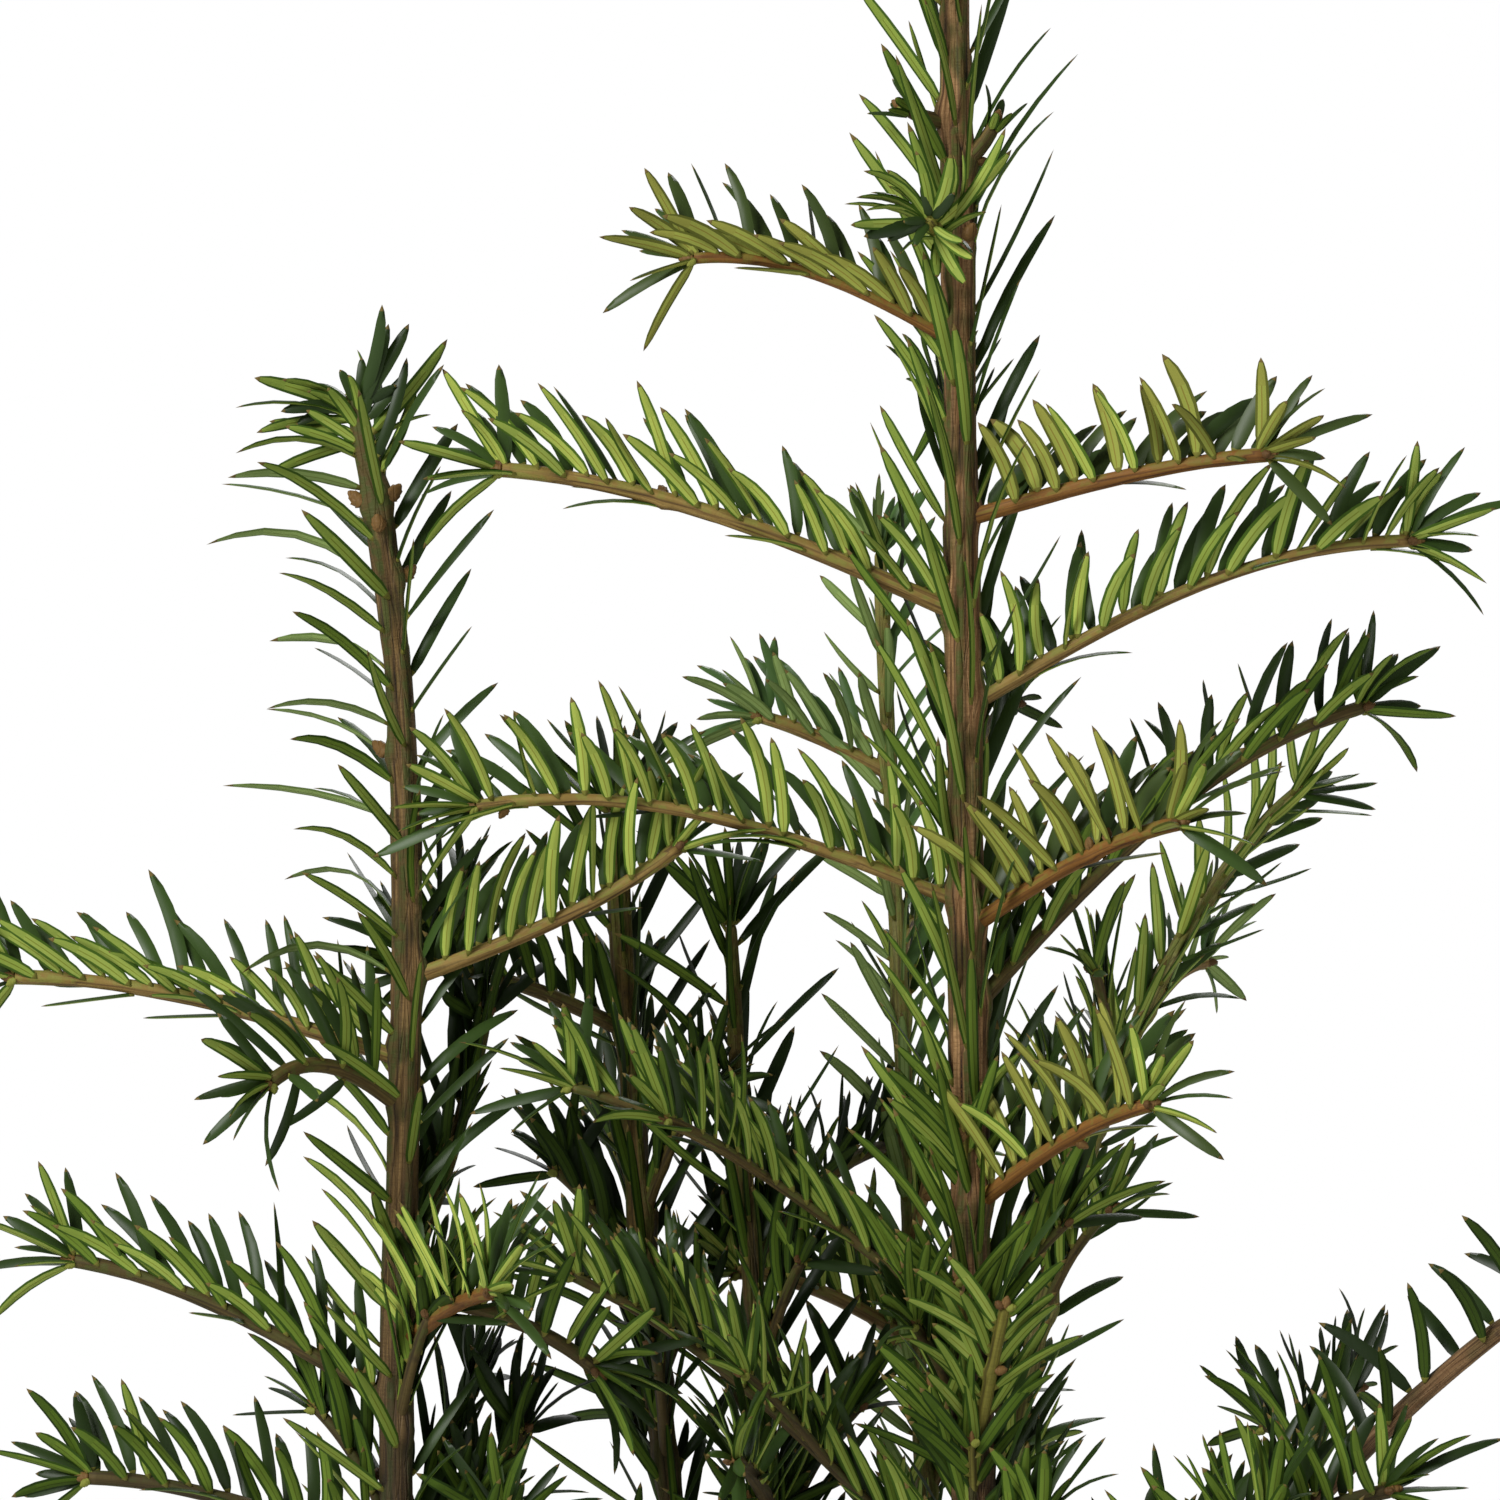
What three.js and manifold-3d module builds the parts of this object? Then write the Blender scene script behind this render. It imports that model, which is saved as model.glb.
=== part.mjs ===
// A young english yew: a shrub with a straight main stem, six lesser leaders that fork from its foot,
// and sprays of needles along all of them. Millimetres, +Z up, origin at the middle of the flat cut at
// ground level, +X to the right and +Y to the back of the shrub.
import * as THREE from "three";
import { mergeVertices } from "three/addons/utils/BufferGeometryUtils.js";
import Module from "manifold-3d";

const wasm = await Module();
wasm.setup();
const { Manifold, Mesh: SolidMesh } = wasm;

// ---- Driving dimensions -------------------------------------------------------------------------

const GAP = 0.3; // space left clear between two solids
const LIMB_GAP = GAP * 1.2; // the same at the corners of a limb with flat sides
const WALL = 1.2; // wall of the sleeve that carries a leader's own needles
const TWIG_SIDES = 3;
const TWIG_ROWS = 4;
const SLEEVE_ROWS = 3;
const ROW_CROWDING = 1.6; // above 1, a limb's rows lie closer together at its foot
const FLARE = { width: 3.6, height: 10 }; // root flare: what it adds to the radius, and how fast it fades

// A limb's centreline is a cubic Bezier curve through its foot and tip. radius is [foot, tip].
const LIMBS = [
  {
    name: "trunk",
    line: [[0, 0, 0], [1.5, 0, 190], [-3.5, 0, 450], [-5.5, 0, 640]],
    radius: [5.6, 3.0],
    sides: 8,
    rows: 10,
    flare: true,
  },
  {
    name: "left-bough",
    on: "trunk",
    line: [[0, 0, 50], [-40, 1, 95], [-98, 0, 158], [-109, 0, 214]],
    radius: [4.7, 4.0],
    sides: 8,
    rows: 5,
  },
  {
    name: "left-leader",
    on: "left-bough",
    line: [[-109.1, 0, 214.4], [-129, 0, 315], [-101, 0, 420], [-125, 0, 520]],
    radius: [4.0, 2.8],
    sides: 8,
    rows: 6,
  },
  {
    name: "middle-left-leader",
    on: "trunk",
    line: [[0, 0, 88], [-42, 25, 150], [-66, 42, 260], [-74, 40, 440]],
    radius: [3.8, 2.4],
    sides: 6,
    rows: 6,
  },
  {
    name: "middle-leader",
    on: "trunk",
    line: [[0, 0, 112], [-22, 24, 175], [-44, 38, 260], [-50, 35, 416]],
    radius: [2.6, 1.6],
    sides: 6,
    rows: 6,
  },
  {
    name: "back-leader",
    on: "trunk",
    line: [[0, 0, 66], [-4, 40, 190], [-12, 80, 340], [-18, 105, 494]],
    radius: [3.0, 1.5],
    sides: 6,
    rows: 6,
  },
  {
    name: "back-right-leader",
    on: "trunk",
    line: [[0, 0, 130], [-10, 40, 250], [14, 90, 390], [75, 125, 442]],
    radius: [3.2, 1.5],
    sides: 6,
    rows: 6,
  },
  {
    name: "right-bough",
    on: "trunk",
    line: [[0, 0, 205], [26, -10, 252], [66, -20, 318], [126, -22, 352]],
    radius: [3.2, 1.9],
    sides: 6,
    rows: 6,
  },
];

// Needles that stand on a leader itself, all round it, from a height to its tip.
const LEADER_NEEDLES = {
  "trunk": { from: 150, step: 14.5 },
  "left-leader": { from: 232, step: 14 },
  "middle-left-leader": { from: 235, step: 16 },
  "middle-leader": { from: 225, step: 16 },
  "back-leader": { from: 215, step: 18 },
  "back-right-leader": { from: 270, step: 17 },
  "right-bough": { from: 255, step: 14 },
};

// Side sprays: [height of the foot, azimuth, length, rise at the foot, rise at the tip]. Azimuth 0 points
// right, 90 back, 180 left and 270 forward; angles are in degrees.
const SPRAYS = {
  "trunk": [
    [544, 246, 25, 35, 25],
    [531, 188, 57, 29, -6],
    [505, 92, 55, 28, 0],
    [496, 335, 66, 14, 3],
    [477, 183, 97, 24, 4],
    [458, 354, 96, 31, 0],
    [440, 78, 62, 28, 0],
    [419, 189, 102, 22, -10],
    [414, 318, 58, 28, 10],
    [397, 20, 108, 46, 14],
    [358, 314, 54, 32, 12],
    [332, 184, 96, 41, 15],
    [306, 290, 42, 48, 30],
    [276, 190, 108, 48, 26],
    [256, 337, 100, 38, 14],
  ],
  "left-leader": [
    [404, 355, 61, 20, 38],
    [400, 75, 42, 30, 15],
    [388, 180, 80, 18, 0],
    [378, 225, 38, 33, -34],
    [340, 50, 62, 60, 76],
    [342, 345, 44, -10, -40],
    [330, 298, 46, 24, 8],
    [319, 178, 71, 31, 10],
    [288, 183, 64, 22, 2],
  ],
  "middle-left-leader": [
    [392, 205, 48, 25, 0],
    [352, 100, 70, 28, 0],
  ],
  "middle-leader": [
    [292, 262, 62, 22, 8],
    [345, 60, 60, 28, 4],
  ],
  "back-leader": [
    [445, 175, 30, 28, 15],
    [392, 85, 60, 30, 0],
    [325, 215, 50, 28, 4],
  ],
  "back-right-leader": [
    [392, 60, 34, 30, 0],
    [368, 85, 56, 26, 0],
  ],
};

// The lower sprays follow a spiral rule: each stands a step higher and a turn further round.
const LOWER_SPRAYS = [
  { limb: "trunk", from: 78, step: 35, count: 5, azimuth: 285, turn: 137.5, length: 116, shorten: 5 },
  { limb: "left-bough", from: 112, step: 31, count: 4, azimuth: 235, turn: 170, length: 98, shorten: 7 },
  { limb: "right-bough", from: 262, step: 34, count: 2, azimuth: 300, turn: 130, length: 66, shorten: 8 },
];
const LOWER_RISE = [36, 0];
const FORKS = [0.42]; // where a lower spray's side twigs leave it, as shares of its length

const ARC_STEPS = 12; // straight steps that a spray's centreline is worked out in
const TWIG_RADIUS = [2.0, 1.2]; // corner radius of a three-sided twig, at its foot and its tip
const BARE_FOOT = 9; // first stretch of a spray, with no needles
const NEEDLE_STEP = 7.4; // along a spray, the two ranks taking turns
const RANK_LEAN = 18; // towards the tip of the spray
const RANK_SPLAY = 25; // outwards from upright
const FAN = [-38, -8, 24, 55]; // needles round the end bud, above the spray's own direction
const FAN_SPREAD = 0.3; // how far they turn to the two sides, as a share of their length
const FAN_LENGTH = 0.9; // as a share of the other needles' length
const BUD = 0.8; // from the last needles' feet to the end of the twig
const FORK = { turn: 46, length: 0.34, radius: 0.8, rise: 12 }; // a side twig, next to its spray
const LEADER_RISE = 46; // of a leader's own needles, from straight out
const TUFT = { count: 5, rise: 64 }; // the needles round a leader's end bud
const GOLDEN_ANGLE = 137.5;
const JITTER = 7; // largest chance turn of a needle, in degrees

const NEEDLE = { width: 5.4, thickness: 1.1, widest: 0.42, arch: 0.07 };
const NEEDLE_LENGTH = { spray: 23, leader: 28 };

const BARK = { color: 0x8a6a4c, roughness: 0.85, metalness: 0 };
const FOLIAGE = { color: 0x4c7030, roughness: 0.5, metalness: 0 };

// ---- Small helpers ------------------------------------------------------------------------------

const UP = new THREE.Vector3(0, 0, 1);
const RIGHT = new THREE.Vector3(1, 0, 0);
const radians = THREE.MathUtils.degToRad;
const mix = THREE.MathUtils.lerp;

// A seeded generator of numbers from -1 to 1.
function seeded(seed) {
  let state = seed;
  return () => {
    state = (state * 1664525 + 1013904223) % 4294967296;
    return state / 2147483648 - 1;
  };
}

function alongGround(azimuth) {
  return new THREE.Vector3(Math.cos(radians(azimuth)), Math.sin(radians(azimuth)), 0);
}

// A closed three.js geometry as a manifold-3d solid, without the flat faces at its poles.
function solidOf(geometry) {
  geometry.deleteAttribute("normal");
  geometry.deleteAttribute("uv");
  const merged = mergeVertices(geometry, 1e-4);
  const corners = merged.index.array;
  const faces = [];
  for (let i = 0; i < corners.length; i += 3) {
    const [a, b, c] = corners.slice(i, i + 3);
    if (a !== b && b !== c && c !== a) faces.push(a, b, c);
  }
  return new Manifold(
    new SolidMesh({
      numProp: 3,
      vertProperties: merged.attributes.position.array,
      triVerts: new Uint32Array(faces),
    }),
  );
}

function geometryOf(solid) {
  const mesh = solid.getMesh();
  const geometry = new THREE.BufferGeometry();
  geometry.setAttribute("position", new THREE.BufferAttribute(mesh.vertProperties, 3));
  geometry.setIndex(new THREE.BufferAttribute(mesh.triVerts, 1));
  geometry.computeVertexNormals();
  return geometry;
}

// Of the bodies that a cut leaves, the largest.
function largest(solid) {
  return solid.decompose().reduce((best, body) => (body.volume() > best.volume() ? body : best));
}

// ---- Tapering limbs and twigs -------------------------------------------------------------------

// Where a point of a centreline is, with the directions along, across and above it there. An upright
// limb keeps its sections turned alike about +X, and a spray keeps its own flat side level.
function frameAt(curve, t, upright) {
  const at = curve.getPoint(t);
  const along = curve.getTangent(t).normalize();
  const across = upright
    ? RIGHT.clone().addScaledVector(along, -RIGHT.dot(along)).normalize()
    : along.clone().cross(UP).normalize();
  const above = across.clone().cross(along);
  return { at, along, across, above };
}

// A cylinder bent along a centreline and tapered to it. A spray's flat side faces up.
function bent({ curve, radiusAt, sides, rows, upright, crowding = 1 }, grow = 0, from = 0, to = 1) {
  const firstCorner = upright ? 0 : Math.PI;
  const geometry = new THREE.CylinderGeometry(1, 1, 1, sides, rows, false, firstCorner);
  const place = geometry.getAttribute("position");
  for (let i = 0; i < place.count; i++) {
    const t = mix(from, to, (place.getY(i) + 0.5) ** crowding);
    const { at, across, above } = frameAt(curve, t, upright);
    const radius = radiusAt(t) + grow;
    at.addScaledVector(across, place.getX(i) * radius).addScaledVector(above, place.getZ(i) * radius);
    place.setXYZ(i, at.x, at.y, at.z);
  }
  return solidOf(geometry);
}

function limbShape({ line, radius, sides, rows, flare }) {
  const curve = new THREE.CubicBezierCurve3(...line.map((point) => new THREE.Vector3(...point)));
  const radiusAt = (t) => {
    const height = curve.getPoint(t).z;
    return mix(...radius, t) + (flare ? FLARE.width * Math.exp(-height / FLARE.height) : 0);
  };
  return { curve, radiusAt, sides, rows, upright: true, crowding: ROW_CROWDING };
}

// The parameter at which a rising centreline passes a height.
function atHeight(curve, height) {
  let [low, high] = [0, 1];
  for (let i = 0; i < 30; i++) {
    const middle = (low + high) / 2;
    if (curve.getPoint(middle).z < height) low = middle;
    else high = middle;
  }
  return low;
}

// A spray's centreline: its rise above the level changes from foot to tip.
function sprayShape(foot, azimuth, length, riseFoot, riseTip, radius = TWIG_RADIUS) {
  const ground = alongGround(azimuth);
  const points = [foot.clone()];
  for (let i = 0; i < ARC_STEPS; i++) {
    const rise = radians(mix(riseFoot, riseTip, ((i + 0.5) / ARC_STEPS) ** 2));
    const next = points[i].clone();
    next.addScaledVector(ground, (Math.cos(rise) * length) / ARC_STEPS);
    next.addScaledVector(UP, (Math.sin(rise) * length) / ARC_STEPS);
    points.push(next);
  }
  const curve = new THREE.CatmullRomCurve3(points);
  const radiusAt = (t) => mix(...radius, t);
  return { curve, radiusAt, length, azimuth, sides: TWIG_SIDES, rows: TWIG_ROWS, upright: false };
}

// ---- Needles ------------------------------------------------------------------------------------

// A needle is a flat three-sided spindle. It points along, its blade is wide across,
// and its ridge and arch face outwards. grow makes it that much larger all round.
function needle(foot, along, across, length, grow = 0) {
  const profile = [new THREE.Vector2(0, 0), new THREE.Vector2(1, NEEDLE.widest), new THREE.Vector2(0, 1)];
  const geometry = new THREE.LatheGeometry(profile, 3);
  const place = geometry.getAttribute("position");
  for (let i = 0; i < place.count; i++) {
    const wide = place.getX(i) * (NEEDLE.width / 2 + grow);
    const thick = place.getZ(i) * (NEEDLE.thickness / 2 + grow);
    const reach = place.getY(i);
    const arch = NEEDLE.arch * length * 4 * reach * (1 - reach);
    place.setXYZ(i, wide, reach * (length + grow), thick + arch);
  }
  const outwards = across.clone().cross(along).normalize();
  const basis = new THREE.Matrix4().makeBasis(across, along, outwards).setPosition(foot);
  return solidOf(geometry.applyMatrix4(basis));
}

// A needle's direction and blade, turned a little by chance.
function posed(along, blade, chance) {
  const direction = along.clone().applyAxisAngle(blade, radians(chance() * JITTER)).normalize();
  const across = blade.clone().addScaledVector(direction, -blade.dot(direction)).normalize();
  return { direction, across };
}

// The needles of one twig: two ranks turned up, and a fan round the end bud.
function sprayNeedles(shape, chance, from) {
  const wanted = [];
  const count = Math.floor((shape.length - from) / NEEDLE_STEP);
  for (let i = 0; i < count; i++) {
    const t = (from + i * NEEDLE_STEP) / shape.length;
    const { at, along, across, above } = frameAt(shape.curve, t, false);
    const rank = i % 2 ? 1 : -1;
    const lean = along.clone().multiplyScalar(Math.tan(radians(RANK_LEAN)));
    const splay = across.clone().multiplyScalar(rank * Math.tan(radians(RANK_SPLAY)));
    const direction = above.clone().add(lean).add(splay).normalize();
    const blade = along.clone().multiplyScalar(rank);
    wanted.push({ foot: at, ...posed(direction, blade, chance), length: NEEDLE_LENGTH.spray });
  }
  FAN.forEach((angle, i) => {
    const { at, along, across, above } = frameAt(shape.curve, 1 - BUD / shape.length, false);
    const direction = along.clone().applyAxisAngle(across, radians(angle));
    direction.addScaledVector(across, (i % 2 ? 1 : -1) * FAN_SPREAD).normalize();
    const blade = above.clone().addScaledVector(along, -1);
    const length = NEEDLE_LENGTH.spray * FAN_LENGTH;
    wanted.push({ foot: at, ...posed(direction, blade, chance), length });
  });
  return wanted;
}

// The needles on a leader itself: a spiral that ends in a tuft round its end bud.
function leaderNeedles(shape, { from, step }, chance) {
  const wanted = [];
  const first = atHeight(shape.curve, from);
  const length = shape.curve.getLength() * (1 - first);
  const count = Math.floor(length / step);
  for (let i = 0; i < count + TUFT.count; i++) {
    const t = Math.min(mix(first, 1, (i * step) / length), 1 - WALL / length);
    const { at, along, across, above } = frameAt(shape.curve, t, true);
    const turn = radians(i * GOLDEN_ANGLE);
    const away = across.clone().multiplyScalar(Math.cos(turn)).addScaledVector(above, Math.sin(turn));
    const rise = radians(i < count ? LEADER_RISE : TUFT.rise);
    const direction = away.clone().multiplyScalar(Math.cos(rise)).addScaledVector(along, Math.sin(rise));
    const blade = away.clone().cross(along);
    const foot = at.clone().addScaledVector(away, shape.radiusAt(t) + GAP + WALL / 2);
    wanted.push({ foot, ...posed(direction, blade, chance), length: NEEDLE_LENGTH.leader });
  }
  return wanted;
}

// ---- Room between the masses --------------------------------------------------------------------

const placed = []; // every solid so far, with its owner and its box

function boxOf(solid) {
  const { min, max } = solid.boundingBox();
  return new THREE.Box3(new THREE.Vector3(...min), new THREE.Vector3(...max));
}

function take(owner, solid) {
  placed.push({ owner, solid, box: boxOf(solid) });
}

function isFree(owner, probe) {
  const box = boxOf(probe);
  const near = placed.filter((other) => other.owner !== owner && other.box.intersectsBox(box));
  return near.every((other) => other.solid.intersect(probe).isEmpty());
}

// Fuses to a mass those of its wanted needles that keep clear of every other solid.
function withNeedles(owner, carrier, wanted) {
  const kept = wanted.filter(({ foot, direction, across, length }) =>
    isFree(owner, needle(foot, direction, across, length, GAP)),
  );
  const needles = kept.map(({ foot, direction, across, length }) =>
    needle(foot, direction, across, length),
  );
  needles.forEach((solid) => take(owner, solid));
  return largest(Manifold.union([carrier, ...needles]));
}

// ---- The shrub ----------------------------------------------------------------------------------

const yew = new THREE.Group();

function addNode(name, solid, material) {
  const mesh = new THREE.Mesh(geometryOf(solid), new THREE.MeshStandardMaterial(material));
  mesh.name = name;
  yew.add(mesh);
}

// Limbs, each cut clear of the one that carries it.
const shapes = new Map(LIMBS.map((limb) => [limb.name, limbShape(limb)]));
for (const { name, on } of LIMBS) {
  const whole = bent(shapes.get(name));
  const solid = on ? largest(whole.subtract(bent(shapes.get(on), LIMB_GAP))) : whole;
  take(name, solid);
  addNode(name, solid, BARK);
}

// Every spray's foot, direction and length, as stated or by the spiral rule.
function allSprays() {
  const listed = Object.entries(SPRAYS).flatMap(([limb, rows]) =>
    rows.map(([height, azimuth, length, riseFoot, riseTip]) => ({
      limb, height, azimuth, length, riseFoot, riseTip, forks: [],
    })),
  );
  const lower = LOWER_SPRAYS.flatMap(({ limb, from, step, count, azimuth, turn, length, shorten }) =>
    Array.from({ length: count }, (_, i) => ({
      limb,
      height: from + i * step,
      azimuth: azimuth + i * turn,
      length: length - i * shorten,
      riseFoot: LOWER_RISE[0],
      riseTip: LOWER_RISE[1],
      forks: FORKS,
    })),
  );
  return [...listed, ...lower];
}

// A spray's side twigs turn off to its two sides by turns.
function sideTwigs(stem, { azimuth, length, riseTip, forks }) {
  const radius = TWIG_RADIUS.map((r) => r * FORK.radius);
  return forks.map((at, i) => {
    const turned = azimuth + (i % 2 ? -1 : 1) * FORK.turn;
    const foot = stem.curve.getPoint(at);
    return sprayShape(foot, turned, length * FORK.length, riseTip + FORK.rise, riseTip, radius);
  });
}

const chance = seeded(7119);
const sprays = allSprays().map((spray, i, all) => {
  const host = shapes.get(spray.limb);
  const foot = host.curve.getPoint(atHeight(host.curve, spray.height));
  const stem = sprayShape(foot, spray.azimuth, spray.length, spray.riseFoot, spray.riseTip);
  const number = all.slice(0, i + 1).filter((other) => other.limb === spray.limb).length;
  const name = `${spray.limb}-spray-${String(number).padStart(2, "0")}`;
  return { ...spray, name, stem, twigs: sideTwigs(stem, spray) };
});

// The stems come first, so that every needle can keep clear of them.
for (const spray of sprays) {
  const clearance = bent(shapes.get(spray.limb), LIMB_GAP);
  const stems = [spray.stem, ...spray.twigs].map((shape) => bent(shape));
  spray.wood = largest(Manifold.union(stems).subtract(clearance));
  take(spray.name, spray.wood);
}

// A leader's own needles share a thin sleeve, open at both ends and wherever a limb or spray passes out.
const sleeves = Object.entries(LEADER_NEEDLES).map(([limb, rule]) => {
  const shape = shapes.get(limb);
  const name = `${limb}-needles`;
  const first = atHeight(shape.curve, rule.from) - WALL / shape.curve.getLength();
  const outside = bent({ ...shape, rows: SLEEVE_ROWS, crowding: 1 }, GAP + WALL, first, 1);
  const inside = bent(shape, LIMB_GAP);
  const forks = [...shapes.values()].filter((other) => other !== shape).map((other) => bent(other, LIMB_GAP));
  const feet = sprays.filter((spray) => spray.limb === limb).map((spray) => bent(spray.stem, 2 * GAP));
  const sleeve = largest(outside.subtract(Manifold.union([inside, ...forks, ...feet])));
  take(name, sleeve);
  return { name, shape, rule, sleeve };
});

for (const spray of sprays) {
  const wanted = [
    ...sprayNeedles(spray.stem, chance, BARE_FOOT),
    ...spray.twigs.flatMap((twig) => sprayNeedles(twig, chance, BARE_FOOT)),
  ];
  addNode(spray.name, withNeedles(spray.name, spray.wood, wanted), FOLIAGE);
}

for (const { name, shape, rule, sleeve } of sleeves) {
  addNode(name, withNeedles(name, sleeve, leaderNeedles(shape, rule, chance)), FOLIAGE);
}

export default yew;
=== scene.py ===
"""Dresses the frame of a young english yew: bark with its relief, side twigs, buds and needles.

Sizes are in millimetres and angles in degrees until a mesh is made. X runs to the right, Y to the back and
Z up, from the middle of the flat cut under the main stem. Azimuth 0 points right, 90 back, 180 left and 270
forward.
"""

import logging
import math
from collections.abc import Iterable, Sequence
from dataclasses import dataclass, field
from enum import Enum
from functools import cached_property
from typing import NamedTuple

import bpy
import numpy as np
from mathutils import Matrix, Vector, noise


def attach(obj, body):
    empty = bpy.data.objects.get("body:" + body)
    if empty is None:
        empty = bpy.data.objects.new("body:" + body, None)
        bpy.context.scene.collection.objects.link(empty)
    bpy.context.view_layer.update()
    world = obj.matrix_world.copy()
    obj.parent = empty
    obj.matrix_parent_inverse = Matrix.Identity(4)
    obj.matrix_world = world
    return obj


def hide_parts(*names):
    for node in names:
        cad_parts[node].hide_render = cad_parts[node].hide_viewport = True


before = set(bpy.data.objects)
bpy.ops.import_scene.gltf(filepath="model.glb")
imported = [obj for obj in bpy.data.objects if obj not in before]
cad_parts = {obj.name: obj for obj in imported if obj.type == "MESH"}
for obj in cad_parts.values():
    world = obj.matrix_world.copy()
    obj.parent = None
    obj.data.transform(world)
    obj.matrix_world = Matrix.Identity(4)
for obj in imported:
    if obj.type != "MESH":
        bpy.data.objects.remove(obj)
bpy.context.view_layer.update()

log = logging.getLogger("yew")

MM = 0.001
GOLDEN_ANGLE = 137.5
UP = np.array((0.0, 0.0, 1.0))
RIGHT = np.array((1.0, 0.0, 0.0))
REAR = np.array((0.0, 1.0, 0.0))
Point = tuple[float, float, float]
Range = tuple[float, float]
Colour = tuple[int, int, int]
Socket = bpy.types.NodeSocket


# ---- Numbers and directions ----------------------------------------------------------------------------


class Chance:
    """A seeded generator, the same as the frame's own."""

    multiplier = 1664525
    increment = 1013904223
    modulus = 2**32

    def __init__(self, seed: int) -> None:
        """Starts the generator from a seed."""
        self.state = seed

    def swing(self) -> float:
        """Gives the next number from -1 to 1."""
        self.state = (self.state * self.multiplier + self.increment) % self.modulus
        return self.state / (self.modulus / 2) - 1

    def between(self, low: float, high: float) -> float:
        """Gives the next number from low to high."""
        return low + (high - low) * (self.swing() + 1) / 2

    def one_in(self, count: float) -> bool:
        """Tells, with a chance of one in count, that something happens."""
        return self.between(0, count) < 1


def unit(vector: np.ndarray) -> np.ndarray:
    """Gives a vector of the same direction and length 1."""
    return vector / np.linalg.norm(vector)


def on_level(azimuth: float) -> np.ndarray:
    """Gives the level direction of an azimuth."""
    turn = math.radians(azimuth)
    return np.array((math.cos(turn), math.sin(turn), 0.0))


def turned(vector: np.ndarray, axis: np.ndarray, angle: float) -> np.ndarray:
    """Turns a vector about an axis by an angle in degrees."""
    turn = math.radians(angle)
    kept, sideways = math.cos(turn), np.cross(axis, vector) * math.sin(turn)
    return vector * kept + sideways + axis * (axis @ vector) * (1 - kept)


def mix(low: float, high: float, share: float) -> float:
    """Gives the number that lies a share of the way from low to high."""
    return low + (high - low) * share


# ---- Limbs and twigs -----------------------------------------------------------------------------------


@dataclass(frozen=True)
class Stand:
    """A place on a centreline, with the directions along, across and above it."""

    at: np.ndarray
    along: np.ndarray
    across: np.ndarray
    above: np.ndarray

    def away(self, turn: float) -> np.ndarray:
        """Gives the direction away from the centreline at an angle round it."""
        return turned(self.across, self.along, turn)

    def turn_of(self, out: np.ndarray) -> float:
        """Gives the angle round the centreline of a direction away from it."""
        return math.degrees(math.atan2(-(self.above @ out), self.across @ out))

    def levelled(self) -> "Stand":
        """Gives the same place with the direction across it level."""
        across = unit(np.cross(self.along, UP))
        return Stand(self.at, self.along, across, np.cross(across, self.along))


@dataclass(frozen=True)
class Limb:
    """A tapering limb along a cubic Bezier curve, as the frame has it."""

    name: str
    line: tuple[Point, Point, Point, Point]
    radius: Range
    flare_width: float = 0.0
    flare_height: float = 10.0
    drawn_in: float = 10.0
    tip_share: float = 0.55
    tip_round: float = 0.6
    halvings: int = 30
    samples: int = 60

    def point(self, t: float) -> np.ndarray:
        """Gives the centreline's point at a parameter from 0 to 1."""
        a, b, c, d = (np.array(p) for p in self.line)
        s = 1 - t
        return s**3 * a + 3 * s * s * t * b + 3 * s * t * t * c + t**3 * d

    def stand(self, t: float) -> Stand:
        """Gives the place at a parameter, with sections turned alike about the level X axis."""
        a, b, c, d = (np.array(p) for p in self.line)
        s = 1 - t
        along = unit(s * s * (b - a) + 2 * s * t * (c - b) + t * t * (d - c))
        across = unit(RIGHT - along * (RIGHT @ along))
        return Stand(self.point(t), along, across, np.cross(across, along))

    def radius_at(self, t: float) -> float:
        """Gives the radius at a parameter, with the root flare and the drawn-in tip."""
        flare = self.flare_width * math.exp(-self.point(t)[2] / self.flare_height)
        from_tip = min((1 - t) * self.length / self.drawn_in, 1.0)
        return mix(*self.radius, t) * mix(self.tip_share, 1.0, from_tip**self.tip_round) + flare

    def at_height(self, height: float) -> float:
        """Finds the parameter at which the rising centreline passes a height."""
        low, high = 0.0, 1.0
        for _ in range(self.halvings):
            middle = (low + high) / 2
            low, high = (middle, high) if self.point(middle)[2] < height else (low, middle)
        return low

    @cached_property
    def length(self) -> float:
        """The length of the centreline."""
        places = np.array([self.point(t) for t in np.linspace(0, 1, self.samples)])
        return float(np.linalg.norm(np.diff(places, axis=0), axis=1).sum())


@dataclass
class Twig:
    """A side twig whose rise above the level changes from its foot to its tip."""

    foot: np.ndarray
    azimuth: float
    length: float
    rise: Range
    radius: Range = (1.85, 1.42)
    bare: float = 6.0
    steps: int = 48
    last: float = 0.9999
    places: np.ndarray = field(init=False)

    def __post_init__(self) -> None:
        """Works out the centreline in short straight steps."""
        share = (np.arange(self.steps) + 0.5) / self.steps
        rise = np.radians(mix(*self.rise, share**2))
        ground = on_level(self.azimuth)
        step = self.length / self.steps
        moves = step * (np.cos(rise)[:, None] * ground + np.sin(rise)[:, None] * UP)
        self.places = self.foot + np.vstack((np.zeros(3), np.cumsum(moves, axis=0)))

    def stand(self, t: float) -> Stand:
        """Gives the place at a parameter from 0 to 1, with the twig's flat side level."""
        at = min(max(t, 0.0), self.last) * self.steps
        index = int(at)
        before, after = self.places[index], self.places[index + 1]
        along = unit(after - before)
        across = unit(np.cross(along, UP))
        return Stand(mix(before, after, at - index), along, across, np.cross(across, along))

    def radius_at(self, t: float) -> float:
        """Gives the radius at a parameter."""
        return mix(*self.radius, t)


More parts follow.
